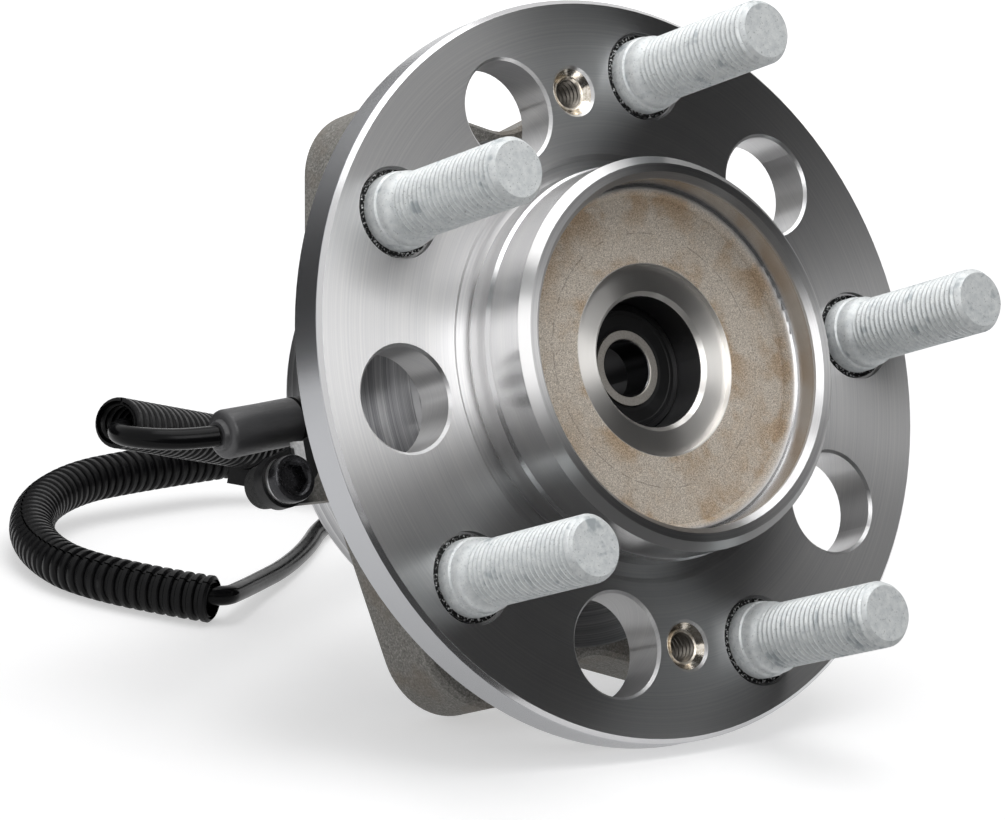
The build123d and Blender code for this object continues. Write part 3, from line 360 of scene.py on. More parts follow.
def coil(piece, pitch, turns):
    """Turns the active piece's line into a thread of so many turns, closed at both ends."""
    helix = piece.modifiers.new("helix", "SCREW")
    helix.screw_offset = pitch
    helix.iterations = turns
    helix.steps = helix.render_steps = 40
    apply_all(piece)
    weld()
    bpy.ops.object.mode_set(mode="EDIT")
    bpy.ops.mesh.select_all(action="SELECT")
    bpy.ops.mesh.fill_holes(sides=0)
    bpy.ops.mesh.normals_make_consistent(inside=False)
    bpy.ops.object.mode_set(mode="OBJECT")


def threaded(name, root, crest, pitch, low, high):
    """A closed bar with a rolled thread from low to high, a turn longer at both ends."""
    rounding = crest - 0.12 * (crest - root)
    flank = [
        (root, low - pitch),
        (root, low - 0.86 * pitch),
        (rounding, low - 0.60 * pitch),
        (crest, low - 0.52 * pitch),
        (crest, low - 0.34 * pitch),
        (rounding, low - 0.26 * pitch),
        (root, low),
    ]
    made = drawn_line(name, flank)
    coil(made, pitch, math.ceil((high - low) / pitch) + 2)
    return made


def carve(piece, tool, operation):
    """Cuts the piece with a tool, or keeps what both share, and takes the tool away."""
    pick(piece)
    cut = piece.modifiers.new("cut", "BOOLEAN")
    cut.operation = operation
    cut.object = tool
    cut.solver = "EXACT"
    apply_all(piece)
    bpy.data.objects.remove(tool)


def joined(pieces):
    """Joins pieces into the first of them, each keeping its own finish."""
    pick(pieces[0])
    for piece in pieces:
        piece.select_set(True)
    bpy.ops.object.join()
    return pieces[0]


def fit_on_hub(piece, name, across, upward, turn, body="hub"):
    """A copy of a piece modelled on z, set at a place across the hub's own axes."""
    made = piece.copy()
    made.name = name
    made.data = piece.data.copy()
    made.data.name = name
    made.data.transform(HUB @ Matrix.Translation((across, upward, 0)) @ Matrix.Rotation(turn, 4, "Z"))
    scene.collection.objects.link(made)
    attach(made, body)
    return made


zinc, tree, shader = new_finish("zinc_plating", 0.25, 0.50)
mottle = speckle(tree, 700.0, 5.0, 0.65)
stains = speckle(tree, 170.0, 3.0)
zinc_colour = ramp(tree, mottle, (0.30, (0.64, 0.672, 0.685)), (0.62, (0.82, 0.845, 0.845)))
zinc_colour = blend_colours(tree, step(tree, stains, 0.64, 0.12), zinc_colour, (0.46, 0.50, 0.52))
pits = step(tree, speckle(tree, 2400.0, 2.0), 0.66, 0.05)
zinc_colour = blend_colours(tree, maths(tree, "MULTIPLY", pits, 0.5), zinc_colour, (0.20, 0.21, 0.21))
tree.links.new(zinc_colour, shader.inputs["Base Color"])
tree.links.new(maths(tree, "MULTIPLY_ADD", mottle, 0.22, 0.36), shader.inputs["Roughness"])
relief(tree, shader, speckle(tree, 2600.0, 3.0), 0.00003)

# Painted shade: the knurl is coloured near-black, with pale specks, for the shade in the sink round the
# collar.
knurl_painted_shade, tree, shader = new_finish("knurl_painted_shade", 0.6, 0.32)
tree.links.new(ramp(tree, speckle(tree, 2000.0), (0.54, 0.003), (0.64, 0.75)), shader.inputs["Base Color"])
relief(tree, shader, speckle(tree, 3000.0), 0.00008)

stud_thread = threaded("stud_thread", THREAD_ROOT_R, THREAD_R, THREAD_PITCH, THREAD_START_Z, STUD_TIP_Z)
thread_blank = turned(
    "thread_blank",
    [
        (0, THREAD_START_Z - 0.0006),
        (THREAD_ROOT_R - 0.0002, THREAD_START_Z - 0.0006),
        (THREAD_R, THREAD_START_Z + 0.0002),
        (THREAD_R, STUD_TIP_Z - 0.0016),
        (THREAD_R - 0.0009, STUD_TIP_Z - 0.0003),
        (THREAD_R - 0.0012, STUD_TIP_Z),
        (0, STUD_TIP_Z),
    ],
    48,
)
carve(stud_thread, thread_blank, "INTERSECT")
stud_body = turned(
    "stud_body",
    [
        (0, THREAD_START_Z + 0.0006),
        (NECK_R, THREAD_START_Z + 0.0006),
        (NECK_R, THREAD_START_Z - 0.0005),
        (NECK_R + 0.0005, THREAD_START_Z - 0.0010),
        (SHOULDER_R - 0.0004, 0.0058),
        (SHOULDER_R - 0.0001, 0.0052),
        (SHOULDER_R, 0.0045),
        (SHOULDER_R, 0.0034),
        (SHOULDER_R - 0.0001, 0.0030),
        (COLLAR_R - 0.0001, 0.0027),
        (COLLAR_R, 0.0022),
        (COLLAR_R, -0.0012),
        (SHANK_R, -0.0016),
        (SHANK_R, HEAD_FRONT_Z + 0.0005),
        (SHANK_R, HEAD_FRONT_Z),
        (HEAD_R, HEAD_FRONT_Z),
        (HEAD_R, HEAD_BACK_Z + 0.0010),
        (HEAD_R - 0.0003, HEAD_BACK_Z + 0.0003),
        (HEAD_R - 0.0010, HEAD_BACK_Z),
        (0, HEAD_BACK_Z),
    ],
    64,
)
bpy.ops.object.select_all(action="DESELECT")
bpy.ops.mesh.primitive_circle_add(
    vertices=2 * KNURL_TEETH, radius=KNURL_R, fill_type="NGON", location=(0, 0, KNURL_BACK_Z)
)
knurl = bpy.context.active_object
bpy.ops.object.transform_apply(location=True, rotation=False, scale=False)
for vertex in knurl.data.vertices:
    vertex.select = vertex.index % 2 == 0
bpy.ops.object.mode_set(mode="EDIT")
bpy.ops.transform.resize(value=(KNURL_ROOT_SHARE, KNURL_ROOT_SHARE, 1.0), center_override=(0, 0, 0))
bpy.ops.mesh.select_all(action="SELECT")
bpy.ops.mesh.extrude_region_move(TRANSFORM_OT_translate={"value": (0, 0, KNURL_LENGTH)})
bpy.ops.object.mode_set(mode="OBJECT")
weld()
for piece in (stud_thread, stud_body):
    wear(piece, zinc)
wear(knurl, knurl_painted_shade)
stud = joined([stud_thread, stud_body, knurl])
bpy.ops.object.shade_smooth_by_angle(angle=SHARP_EDGE)
for number in range(STUD_COUNT):
    turn = STUD_FIRST_TURN + number * 2 * math.pi / STUD_COUNT
    place = (STUD_PCD_R * math.cos(turn), STUD_PCD_R * math.sin(turn))
    fitted = fit_on_hub(stud, f"wheel_stud_{number + 1}", *place, STUD_OWN_TURN * number)
    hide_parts("wheel_studs")
bpy.data.objects.remove(stud)


# ---------------------------------------------------------------- disc screw threads
# Two M8 holes for the screws that hold the brake disc: nickel-bright bushes with a cone mouth,
# pressed into the flange, each with its cut thread.
SCREW_PCD_R = 0.060
SCREW_FIRST_TURN = math.radians(92.3)
SCREW_PITCH = 0.00125
SCREW_CORE_R = 0.0029
SCREW_THREAD_TURNS = 6
BUSH_COUNT = 2
BUSH_FIRST_OWN_TURN = 2.4
BUSH_BORE_R = 0.0033
BUSH_MOUTH_R = 0.0050
BUSH_BACK_Z = -0.0100

nickel, tree, shader = new_finish("bright_nickel", 1.0, 0.24)
depth = radius_and_height(tree)[1]
mouth = step(tree, depth, -0.00172, 0.0001)
in_thread = below(tree, depth, -0.0020)
patches = speckle(tree, 1500.0, 3.0)
nickel_colour = ramp(tree, patches, (0.35, (0.50, 0.44, 0.36)), (0.60, (0.78, 0.73, 0.65)))
# Painted shade: down the thread, past the cone mouth, the nickel is coloured darker.
nickel_colour = blend_colours(tree, in_thread, nickel_colour, (0.20, 0.185, 0.165))
tree.links.new(nickel_colour, shader.inputs["Base Color"])
tree.links.new(maths(tree, "MULTIPLY_ADD", mouth, -0.26, 0.38), shader.inputs["Roughness"])
relief(tree, shader, patches, 0.00003)

bush = turned(
    "bush",
    [
        (BUSH_BORE_R + 0.00001, BUSH_BACK_Z),
        (BUSH_BORE_R + 0.00001, -0.0022),
        (BUSH_BORE_R, -0.0019),
        (BUSH_BORE_R + 0.0004, -0.0018),
        (BUSH_BORE_R + 0.0005, -0.0017),
        (BUSH_MOUTH_R, -0.0005),
        (BUSH_MOUTH_R + 0.00005, -0.0006),
        (0.0042, -0.0024),
        (BUSH_BORE_R + 0.00009, -0.0030),
        (BUSH_BORE_R + 0.00009, BUSH_BACK_Z),
    ],
    48,
    closed=True,
)
cut_thread = drawn_line(
    "cut_thread",
    [
        (BUSH_BORE_R + 0.0001, BUSH_BACK_Z),
        (SCREW_CORE_R, BUSH_BACK_Z + 0.0005),
        (SCREW_CORE_R, BUSH_BACK_Z + 0.00065),
        (BUSH_BORE_R + 0.0001, BUSH_BACK_Z + 0.00115),
    ],
    closed=True,
)
coil(cut_thread, SCREW_PITCH, SCREW_THREAD_TURNS)
for piece in (bush, cut_thread):
    wear(piece, nickel)
bush = joined([bush, cut_thread])
bpy.ops.object.shade_smooth_by_angle(angle=SHARP_EDGE)
for number in range(BUSH_COUNT):
    turn = SCREW_FIRST_TURN + number * 2 * math.pi / BUSH_COUNT
    place = (SCREW_PCD_R * math.cos(turn), SCREW_PCD_R * math.sin(turn))
    fitted = fit_on_hub(bush, f"disc_screw_bush_{number + 1}", *place, BUSH_FIRST_OWN_TURN + number)
bpy.data.objects.remove(bush)


# ---------------------------------------------------------------- inner ring and tone ring
# The inner ring is bearing steel, hardened and ground; between the rows the toothed ring that the
# sensor reads is pressed and sintered, and a rolled steel slinger turns inside the back seal.
def ground_metal(name, low, high, roughness=0.2):
    """Ground or polished steel with fine marks round the spin axis."""
    material, tree, shader = new_finish(name, 1.0, roughness, Anisotropic=0.7, Anisotropic_Rotation=0.25)
    tree.links.new(round_the_axis(tree), shader.inputs["Tangent"])
    radius, height = radius_and_height(tree)
    marks = feed_marks(tree, maths(tree, "ADD", radius, height), 5200.0, 4.0)
    tree.links.new(ramp(tree, marks, (0.3, low), (0.7, high)), shader.inputs["Base Color"])
    tree.links.new(maths(tree, "MULTIPLY_ADD", marks, 0.14, roughness - 0.07), shader.inputs["Roughness"])
    relief(tree, shader, marks, 0.00001)
    return material


ground_steel = ground_metal("ground_steel", (0.42, 0.42, 0.43), (0.60, 0.60, 0.60))
wear("inner_ring", ground_steel)
wear("inboard_slinger", ground_metal("rolled_steel", (0.36, 0.36, 0.36), (0.52, 0.52, 0.51), 0.34))

sintered, tree, shader = new_finish("sintered_steel", 0.8, 0.5)
grain = speckle(tree, 2400.0, 4.0)
sintered_colour = ramp(tree, grain, (0.35, (0.13, 0.13, 0.14)), (0.65, (0.26, 0.26, 0.27)))
tree.links.new(sintered_colour, shader.inputs["Base Color"])
relief(tree, shader, grain, 0.00006)
wear("tone_ring", sintered)


# ---------------------------------------------------------------- ball rows
# Two rows of polished chrome-steel balls, and a third in the pilot bearing. Each row is held apart
# by a snap cage moulded in glass-filled nylon.
polished, tree, shader = new_finish("polished_steel", 1.0, 0.06)
tree.links.new(ramp(tree, speckle(tree, 260.0), (0.3, 0.55), (0.7, 0.64)), shader.inputs["Base Color"])
tree.links.new(maths(tree, "MULTIPLY", speckle(tree, 1500.0), 0.12), shader.inputs["Roughness"])
for row_name in ("outboard_balls", "inboard_balls", "pilot_balls"):
    wear(row_name, polished)

cage_nylon, tree, shader = new_finish("cage_nylon", 0.0, 0.45)
fibres = speckle(tree, 1600.0, 5.0)
nylon_colour = ramp(tree, fibres, (0.3, (0.30, 0.20, 0.09)), (0.7, (0.42, 0.30, 0.15)))
tree.links.new(nylon_colour, shader.inputs["Base Color"])
tree.links.new(maths(tree, "MULTIPLY_ADD", fibres, 0.2, 0.35), shader.inputs["Roughness"])
relief(tree, shader, fibres, 0.00004)
for cage in ("outboard_cage", "inboard_cage", "pilot_cage"):
    wear(cage, cage_nylon)


# ---------------------------------------------------------------- outer ring
# Forged and left with its scaled skin on the lobes and webs; the barrels in front and behind, both
# faces near the middle and the faces that meet the knuckle are turned bright.
BARREL_R = 0.0478
LOBE_BACK_Z = -0.0437
LOBE_FRONT_Z = -0.0280
FRONT_FACE_R = 0.0560
SENSOR_PAD_X = -0.0655

cast_steel, tree, shader = new_finish(
    "forged_skin_and_turned", 1.0, 0.5, Anisotropic=0.6, Anisotropic_Rotation=0.25
)
tree.links.new(round_the_axis(tree), shader.inputs["Tangent"])
radius, height = radius_and_height(tree)
grain = speckle(tree, 1900.0, 5.0, 0.78)
dents = speckle(tree, 330.0, 3.0)
cast_colour = ramp(
    tree, grain, (0.32, (0.11, 0.106, 0.097)), (0.52, (0.265, 0.256, 0.238)), (0.72, (0.52, 0.505, 0.47))
)
rusty = maths(tree, "MULTIPLY", step(tree, speckle(tree, 90.0), 0.56, 0.2), 0.45)
cast_colour = blend_colours(tree, rusty, cast_colour, (0.22, 0.18, 0.14))
# Painted shade: the sensor pad, left of the sensor screw, is coloured near-black.
sideways = add(tree, "SeparateXYZ", {0: hub_place(tree)}).outputs[0]
off_pad_painted_shade = step(tree, sideways, SENSOR_PAD_X, 0.003)
cast_colour = blend_colours(tree, off_pad_painted_shade, (0.022, 0.022, 0.022), cast_colour)

across = maths(tree, "ADD", radius, height)
marks = maths(tree, "MULTIPLY", feed_marks(tree, across, 420.0, 2.0), 0.5)
marks = maths(tree, "MULTIPLY_ADD", feed_marks(tree, across, 2600.0, 4.0), 0.5, marks)
bright = ramp(
    tree, marks, (0.36, (0.27, 0.27, 0.28)), (0.50, (0.42, 0.42, 0.43)), (0.64, (0.60, 0.60, 0.60))
)
barrel = opposite(tree, step(tree, radius, BARREL_R, 0.0004))
mount_face = opposite(tree, step(tree, height, LOBE_BACK_Z + 0.0004, 0.0003))
front_face = both(tree, step(tree, height, LOBE_FRONT_Z - 0.0002, 0.0002), below(tree, radius, FRONT_FACE_R))
machined = maths(tree, "MAXIMUM", maths(tree, "MAXIMUM", barrel, mount_face), front_face)
tree.links.new(blend_colours(tree, machined, cast_colour, bright), shader.inputs["Base Color"])
tree.links.new(maths(tree, "MULTIPLY_ADD", machined, 0.45, 0.55), shader.inputs["Metallic"])
skin_roughness = maths(tree, "MULTIPLY_ADD", grain, 0.3, 0.45)
tree.links.new(blend_values(tree, machined, skin_roughness, 0.30), shader.inputs["Roughness"])
pits = maths(tree, "ADD", maths(tree, "MULTIPLY", grain, 0.45), dents)
relief(tree, shader, both(tree, pits, opposite(tree, machined)), 0.0006)
wear("outer_ring", cast_steel)


# ---------------------------------------------------------------- seals
# Each seal is a pressed steel case with a nitrile rubber lip bonded to it. The small bearing's two
# shields and the sensor's O-ring are the same black rubber.
def moulded(name, colour, roughness, grain_scale, depth, gloss=0.2):
    """Rubber or plastic out of a mould: an even colour, fine grain and uneven gloss."""
    material, tree, shader = new_finish(name, 0.0, roughness, colour, Specular_IOR_Level=gloss)
    grain = speckle(tree, grain_scale, 4.0)
    bloom = speckle(tree, grain_scale / 9, 3.0)
    pale = tuple(min(1.0, channel * 1.7 + 0.004) for channel in colour)
    tree.links.new(
        blend_colours(tree, step(tree, bloom, 0.62, 0.3), colour, pale), shader.inputs["Base Color"]
    )
    uneven = maths(tree, "MULTIPLY_ADD", grain, 0.22, roughness - 0.11)
    tree.links.new(maths(tree, "MULTIPLY_ADD", bloom, 0.12, uneven), shader.inputs["Roughness"])
    relief(tree, shader, grain, depth)
    return material


seal_rubber = moulded("seal_rubber", (0.007, 0.007, 0.0075), 0.42, 1500.0, 0.00004)
for seal in ("outboard_seal", "inboard_seal", "sensor_o_ring", "pilot_shields"):
    wear(seal, seal_rubber)
seal_case = ground_metal("seal_case", (0.10, 0.10, 0.11), (0.18, 0.18, 0.19), 0.40)
for case in ("outboard_seal_core", "inboard_seal_core"):
    wear(case, seal_case)


# ---------------------------------------------------------------- pilot bearing
# A small sealed ball bearing, 12 x 28 x 8, pressed into the middle of the hub. Its races are ground
# all over: the outer one is coloured dark, and the inner one has a matt face round a smooth bore,
# which is darkened with painted shade.
PILOT_BORE_R = 0.0060

# The outer race is given a dark colour.
wear("pilot_outer_race", ground_metal("dark_race", (0.05, 0.05, 0.052), (0.10, 0.10, 0.10), 0.30))

inner_race_steel, tree, shader = new_finish("inner_race_steel", 1.0, 0.4)
radius, height = radius_and_height(tree)
face = step(tree, radius, PILOT_BORE_R + 0.0002, 0.0002)
grinding = speckle(tree, 2600.0, 3.0)
face_colour = ramp(tree, grinding, (0.3, (0.46, 0.43, 0.39)), (0.7, (0.60, 0.575, 0.535)))
# Painted shade: the bore of the inner race is coloured dark grey inside its matt face.
tree.links.new(blend_colours(tree, face, (0.16, 0.16, 0.165), face_colour), shader.inputs["Base Color"])
tree.links.new(maths(tree, "MULTIPLY_ADD", face, 0.28, 0.16), shader.inputs["Roughness"])
relief(tree, shader, both(tree, grinding, face), 0.00004)
wear("pilot_inner_race", inner_race_steel)


# ---------------------------------------------------------------- speed sensor
# The sensor's moulded body is held on its pad by a black socket-head screw through a steel
# bushing; a bright strap ties the moulding to the ear, and a rubber boot covers the lead's exit.
SCREW_PLACE = (-0.0736, -0.0136)
SCREW_HEAD_R = 0.0050
SCREW_SHANK_R = 0.0025
SCREW_SHANK_END_Z = -0.0357
SCREW_HEAD_BASE_Z = -0.0265
SCREW_HEAD_TOP_Z = -0.0235
SOCKET_FLATS = 0.0054
SOCKET_DEPTH = 0.0021
SOCKET_TURN = math.radians(18)
BOOT_START = (-0.0611, 0.0, -0.0390)
BOOT_DROOP = math.radians(4.6)
BOOT_R = 0.0052
BOOT_TAPER_START = 0.0090
BOOT_BODY = 0.0185
BOOT_LENGTH = 0.0195
BOOT_COLLAR_R = 0.0031
BOOT_SOCKET_R = 0.0039
BOOT_SOCKET_DEPTH = 0.0055
SOFT_EDGE = math.radians(40)

wear("sensor_body", moulded("sensor_plastic", (0.007, 0.007, 0.0075), 0.36, 1100.0, 0.00006))
wear("sensor_bushing", ground_metal("bushing_steel", (0.50, 0.50, 0.50), (0.68, 0.68, 0.67), 0.25))
strap_steel, tree, shader = new_finish("strap_steel", 1.0, 0.30)
brushing = speckle(tree, 1400.0, 3.0)
tree.links.new(ramp(tree, brushing, (0.3, 0.52), (0.7, 0.74)), shader.inputs["Base Color"])
relief(tree, shader, brushing, 0.00002)
wear("sensor_strap", strap_steel)

screw = turned(
    "sensor_screw_head",
    [
        (0, SCREW_SHANK_END_Z),
        (SCREW_SHANK_R - 0.0003, SCREW_SHANK_END_Z),
        (SCREW_SHANK_R, SCREW_SHANK_END_Z + 0.0003),
        (SCREW_SHANK_R, SCREW_HEAD_BASE_Z),
        (SCREW_HEAD_R - 0.0002, SCREW_HEAD_BASE_Z),
        (SCREW_HEAD_R, SCREW_HEAD_BASE_Z + 0.0002),
        (SCREW_HEAD_R, SCREW_HEAD_TOP_Z - 0.0007),
        (SCREW_HEAD_R - 0.0002, SCREW_HEAD_TOP_Z - 0.0002),
        (SCREW_HEAD_R - 0.0006, SCREW_HEAD_TOP_Z),
        (0.0038, SCREW_HEAD_TOP_Z),
        (0.0034, SCREW_HEAD_TOP_Z - 0.0004),
        (0, SCREW_HEAD_TOP_Z - 0.0004),
    ],
    64,
)
bpy.ops.object.select_all(action="DESELECT")
bpy.ops.mesh.primitive_cylinder_add(
    vertices=6, radius=SOCKET_FLATS / math.sqrt(3), depth=2 * SOCKET_DEPTH, location=(0, 0, SCREW_HEAD_TOP_Z)
)
carve(screw, bpy.context.active_object, "DIFFERENCE")
bpy.ops.object.shade_smooth_by_angle(angle=SHARP_EDGE)
black_oxide, tree, shader = new_finish("black_oxide", 0.8, 0.25)
wear_specks = speckle(tree, 1900.0, 3.0)
oxide_colour = ramp(tree, wear_specks, (0.62, (0.035, 0.035, 0.038)), (0.76, (0.14, 0.14, 0.15)))
tree.links.new(oxide_colour, shader.inputs["Base Color"])
tree.links.new(maths(tree, "MULTIPLY_ADD", wear_specks, 0.22, 0.14), shader.inputs["Roughness"])
relief(tree, shader, wear_specks, 0.00003)
wear(screw, black_oxide)
fitted = fit_on_hub(screw, "socket_screw", *SCREW_PLACE, SOCKET_TURN, "knuckle")
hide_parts("sensor_screw")
bpy.data.objects.remove(screw)

boot = turned(
    "boot_body",
    [
        (0, BOOT_SOCKET_DEPTH),
        (BOOT_SOCKET_R, BOOT_SOCKET_DEPTH),
        (BOOT_SOCKET_R, 0.0004),
        (BOOT_R - 0.0001, 0.0004),
        (BOOT_R - 0.0001, BOOT_TAPER_START),
        (BOOT_R, BOOT_BODY - 0.0012),
        (BOOT_R - 0.00015, BOOT_BODY - 0.0006),
        (BOOT_R - 0.0005, BOOT_BODY - 0.0002),
        (BOOT_R - 0.0011, BOOT_BODY),
        (BOOT_COLLAR_R + 0.0003, BOOT_BODY),
        (BOOT_COLLAR_R + 0.0001, BOOT_BODY + 0.0002),
        (BOOT_COLLAR_R, BOOT_LENGTH - 0.0002),
        (BOOT_COLLAR_R - 0.0002, BOOT_LENGTH),
        (0, BOOT_LENGTH),
    ],
    56,
)
bpy.ops.object.shade_smooth_by_angle(angle=SOFT_EDGE)
boot_way = HUB.to_3x3() @ Vector((-math.cos(BOOT_DROOP), -math.sin(BOOT_DROOP), 0))
boot_turn = boot_way.to_track_quat("Z", "X").to_matrix().to_4x4()
boot.data.transform(Matrix.Translation(HUB @ Vector(BOOT_START)) @ boot_turn)
boot_rubber, tree, shader = new_finish("boot_rubber", 0.0, 0.4, (0.055, 0.055, 0.058), Specular_IOR_Level=0.6)
boot_slope = (0.0, BOOT_DROOP, math.radians(3.0))
stretched = {"Vector": object_place(tree), "Rotation": boot_slope, "Scale": (0.25, 1, 1)}
along_boot = add(tree, "Mapping", stretched).outputs[0]
streaks = speckle(tree, 2600.0, 3.0, place=along_boot)
tree.links.new(ramp(tree, streaks, (0.35, 0.36), (0.65, 0.54)), shader.inputs["Roughness"])
relief(tree, shader, streaks, 0.00005)
wear(boot, boot_rubber)
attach(boot, "knuckle")
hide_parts("sensor_boot")


# ---------------------------------------------------------------- leads and sleeve
# The sensor's two-core lead goes from its boot into a split ribbed sleeve, comes out at the far end
# and runs on to a two-way plug. The jacket is black rubber-like plastic, the sleeve extruded nylon.
LEAD_D = 0.0045
SLEEVE_D = 0.0108
SENSOR_LEAD_ROUTE = [
    (-0.0801, 0.0301, 0.0608), (-0.0862, 0.0320, 0.0601), (-0.0932, 0.0365, 0.0598),
    (-0.0960, 0.0434, 0.0594), (-0.0909, 0.0504, 0.0589), (-0.0849, 0.0539, 0.0574),
]
SLEEVE_ROUTE = [
    (-0.0914, 0.0509, 0.0600), (-0.0556, 0.0693, 0.0498), (-0.0176, 0.0887, 0.0392),
    (0.0224, 0.1087, 0.0320), (0.0607, 0.1278, 0.0263), (0.0674, 0.1621, 0.0195),
    (0.0422, 0.1882, 0.0116), (0.0040, 0.1842, 0.0110), (-0.0155, 0.1800, 0.0106),
    (-0.0336, 0.1692, 0.0084), (-0.0476, 0.1472, 0.0058), (-0.0510, 0.1165, 0.0056),
    (-0.0344, 0.0915, 0.0056),
]
TAIL_ROUTE = [
    (-0.0397, 0.0976, 0.0062), (-0.0337, 0.0889, 0.0066), (-0.0250, 0.0949, 0.0058),
    (-0.0141, 0.1037, 0.0044), (0.0034, 0.1167, 0.0030), (0.0214, 0.1322, 0.0025),
    (0.0374, 0.1487, 0.0025), (0.0584, 0.1587, 0.0055), (0.0804, 0.1587, 0.0055),
]


def route_curve(name, route, bevel):
    """A smooth curve with the route's points as its control points."""
    curve = bpy.data.curves.new(name, "CURVE")
    curve.dimensions = "3D"
    curve.resolution_u = 24
    curve.bevel_depth = bevel
    curve.bevel_resolution = 5
    curve.use_fill_caps = bevel > 0
    spline = curve.splines.new("NURBS")
    spline.points.add(len(route) - 1)
    for point, place in zip(spline.points, route):
        point.co = (*place, 1)
    spline.order_u = 3
    spline.use_endpoint_u = True
    made = bpy.data.objects.new(name, curve)
    scene.collection.objects.link(made)
    return made


jacket, tree, shader = new_finish("cable_jacket", 0.0, 0.24, (0.004, 0.004, 0.0045), Specular_IOR_Level=0.1)
scuffs = speckle(tree, 600.0, 3.0)
tree.links.new(ramp(tree, scuffs, (0.3, 0.16), (0.7, 0.26)), shader.inputs["Roughness"])

sensor_lead = route_curve("lead_jacket", SENSOR_LEAD_ROUTE, LEAD_D / 2)
tail_lead = route_curve("tail_jacket", TAIL_ROUTE, LEAD_D / 2)
for lead, node in ((sensor_lead, "sensor_lead"), (tail_lead, "tail_lead")):
    wear(lead, jacket)
    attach(lead, "knuckle")
    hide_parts(node)

RIB_PITCH = 0.00275
RIB_DEPTH = 0.0008
RIB_MEETING = 0.00002
SLEEVE_WALL = 0.0007
SLIT_TURN = math.radians(4.0)
sleeve_path = route_curve("sleeve_path", SLEEVE_ROUTE, 0.0)
path_mesh = bpy.data.meshes.new_from_object(sleeve_path)
sleeve_points = [vertex.co.copy() for vertex in path_mesh.vertices]
sleeve_length = sum((end - start).length for start, end in zip(sleeve_points, sleeve_points[1:]))

# One rib is drawn as its section, with the wall's inside and outside as two lines, and spun nearly
# all the way round so that the slit stays open. It is then repeated and bent to the sleeve's route.
rib_count = int(sleeve_length / RIB_PITCH)
pitch = sleeve_length / rib_count
crest_r = SLEEVE_D / 2
root_r = crest_r - RIB_DEPTH
near_crest = crest_r - 0.0002
outside = [
    (0.0, root_r), (0.20, root_r), (0.28, near_crest), (0.36, crest_r),
    (0.74, crest_r), (0.82, near_crest), (0.90, root_r), (1.0, root_r),
]
inside = [(share, radius_out - SLEEVE_WALL) for share, radius_out in reversed(outside)]
rib_mesh = bpy.data.meshes.new("conduit_sleeve")
section = [(share * pitch, 0.0, radius_out) for share, radius_out in outside + inside]
lines = [(number, number + 1) for number in range(len(section) - 1) if number != len(outside) - 1]
rib_mesh.from_pydata(section, lines, [])
sleeve = bpy.data.objects.new("conduit_sleeve", rib_mesh)
scene.collection.objects.link(sleeve)
pick(sleeve)
bpy.ops.object.mode_set(mode="EDIT")
bpy.ops.mesh.select_all(action="SELECT")
bpy.ops.transform.rotate(value=SLIT_TURN / 2, orient_axis="X", center_override=(0, 0, 0))
bpy.ops.mesh.spin(steps=30, angle=2 * math.pi - SLIT_TURN, center=(0, 0, 0), axis=(1, 0, 0))
bpy.ops.object.mode_set(mode="OBJECT")
row = sleeve.modifiers.new("along", "ARRAY")
row.count = rib_count
row.use_relative_offset = False
row.use_constant_offset = True
row.constant_offset_displace = (pitch, 0, 0)
row.use_merge_vertices = True
row.merge_threshold = RIB_MEETING
bend = sleeve.modifiers.new("bend", "CURVE")
bend.object = sleeve_path
bend.deform_axis = "POS_X"
apply_all(sleeve)
weld(RIB_MEETING)
bpy.ops.object.shade_smooth_by_angle(angle=SOFT_EDGE)
bpy.data.objects.remove(sleeve_path)

sleeve_nylon, tree, shader = new_finish(
    "sleeve_nylon", 0.0, 0.3, (0.003, 0.003, 0.0035), Specular_IOR_Level=0.16
)
tree.links.new(ramp(tree, speckle(tree, 500.0), (0.3, 0.28), (0.7, 0.46)), shader.inputs["Roughness"])
relief(tree, shader, speckle(tree, 1500.0), 0.00005)
wear(sleeve, sleeve_nylon)
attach(sleeve, "knuckle")
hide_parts("conduit")

wear("conduit_clip", moulded("clip_plastic", (0.006, 0.006, 0.0065), 0.42, 1200.0, 0.00006))


# ---------------------------------------------------------------- connector
# A two-way sealed plug moulded in glass-filled nylon, with a sliding lock, a silicone seal where the
# wires go in, and two tinned brass pins.
wear("connector_housing", moulded("plug_nylon", (0.009, 0.009, 0.0095), 0.45, 1000.0, 0.00007))
wear("connector_lock", moulded("lock_nylon", (0.24, 0.25, 0.26), 0.45, 1000.0, 0.00005))
wear("connector_seal", moulded("seal_silicone", (0.05, 0.13, 0.09), 0.5, 1400.0, 0.00005))
tinned, tree, shader = new_finish("tinned_brass", 1.0, 0.28)
tin = ramp(tree, speckle(tree, 1300.0), (0.3, (0.55, 0.55, 0.52)), (0.7, (0.70, 0.70, 0.67)))
tree.links.new(tin, shader.inputs["Base Color"])
wear("connector_pins", tinned)


# ---------------------------------------------------------------- studio
# The unit stands on a wide white floor under an even white sky and one large soft lamp. Cards stand
# round it that show only in its metal, and give the turned faces their bright and dark bands.
FLOOR_GLOW = 0.48
FAR_FLOOR_GLOW = 0.82
FLOOR_GLOW_GROWS_AT = 0.75
SKY_ON_OBJECT = 0.5
LAMP_PLACE = Vector((0.1, -0.1, 1.3))
LAMP_TARGET = Vector((0.0, 0.0, 0.05))

camera_data = bpy.data.cameras.new("camera")
camera_data.lens = 162.458
camera_data.sensor_width = 36.0
camera_data.clip_start = 0.01
camera = bpy.data.objects.new("camera", camera_data)
camera.location = (-0.613613, -0.716929, 0.268389)
camera.rotation_euler = (1.357862666, -0.074551084, -0.667819940)
scene.collection.objects.link(camera)
scene.camera = camera
scene.view_settings.view_transform = "Standard"

bpy.ops.mesh.primitive_plane_add(size=12.0)
floor = bpy.context.active_object
floor.name = "floor"


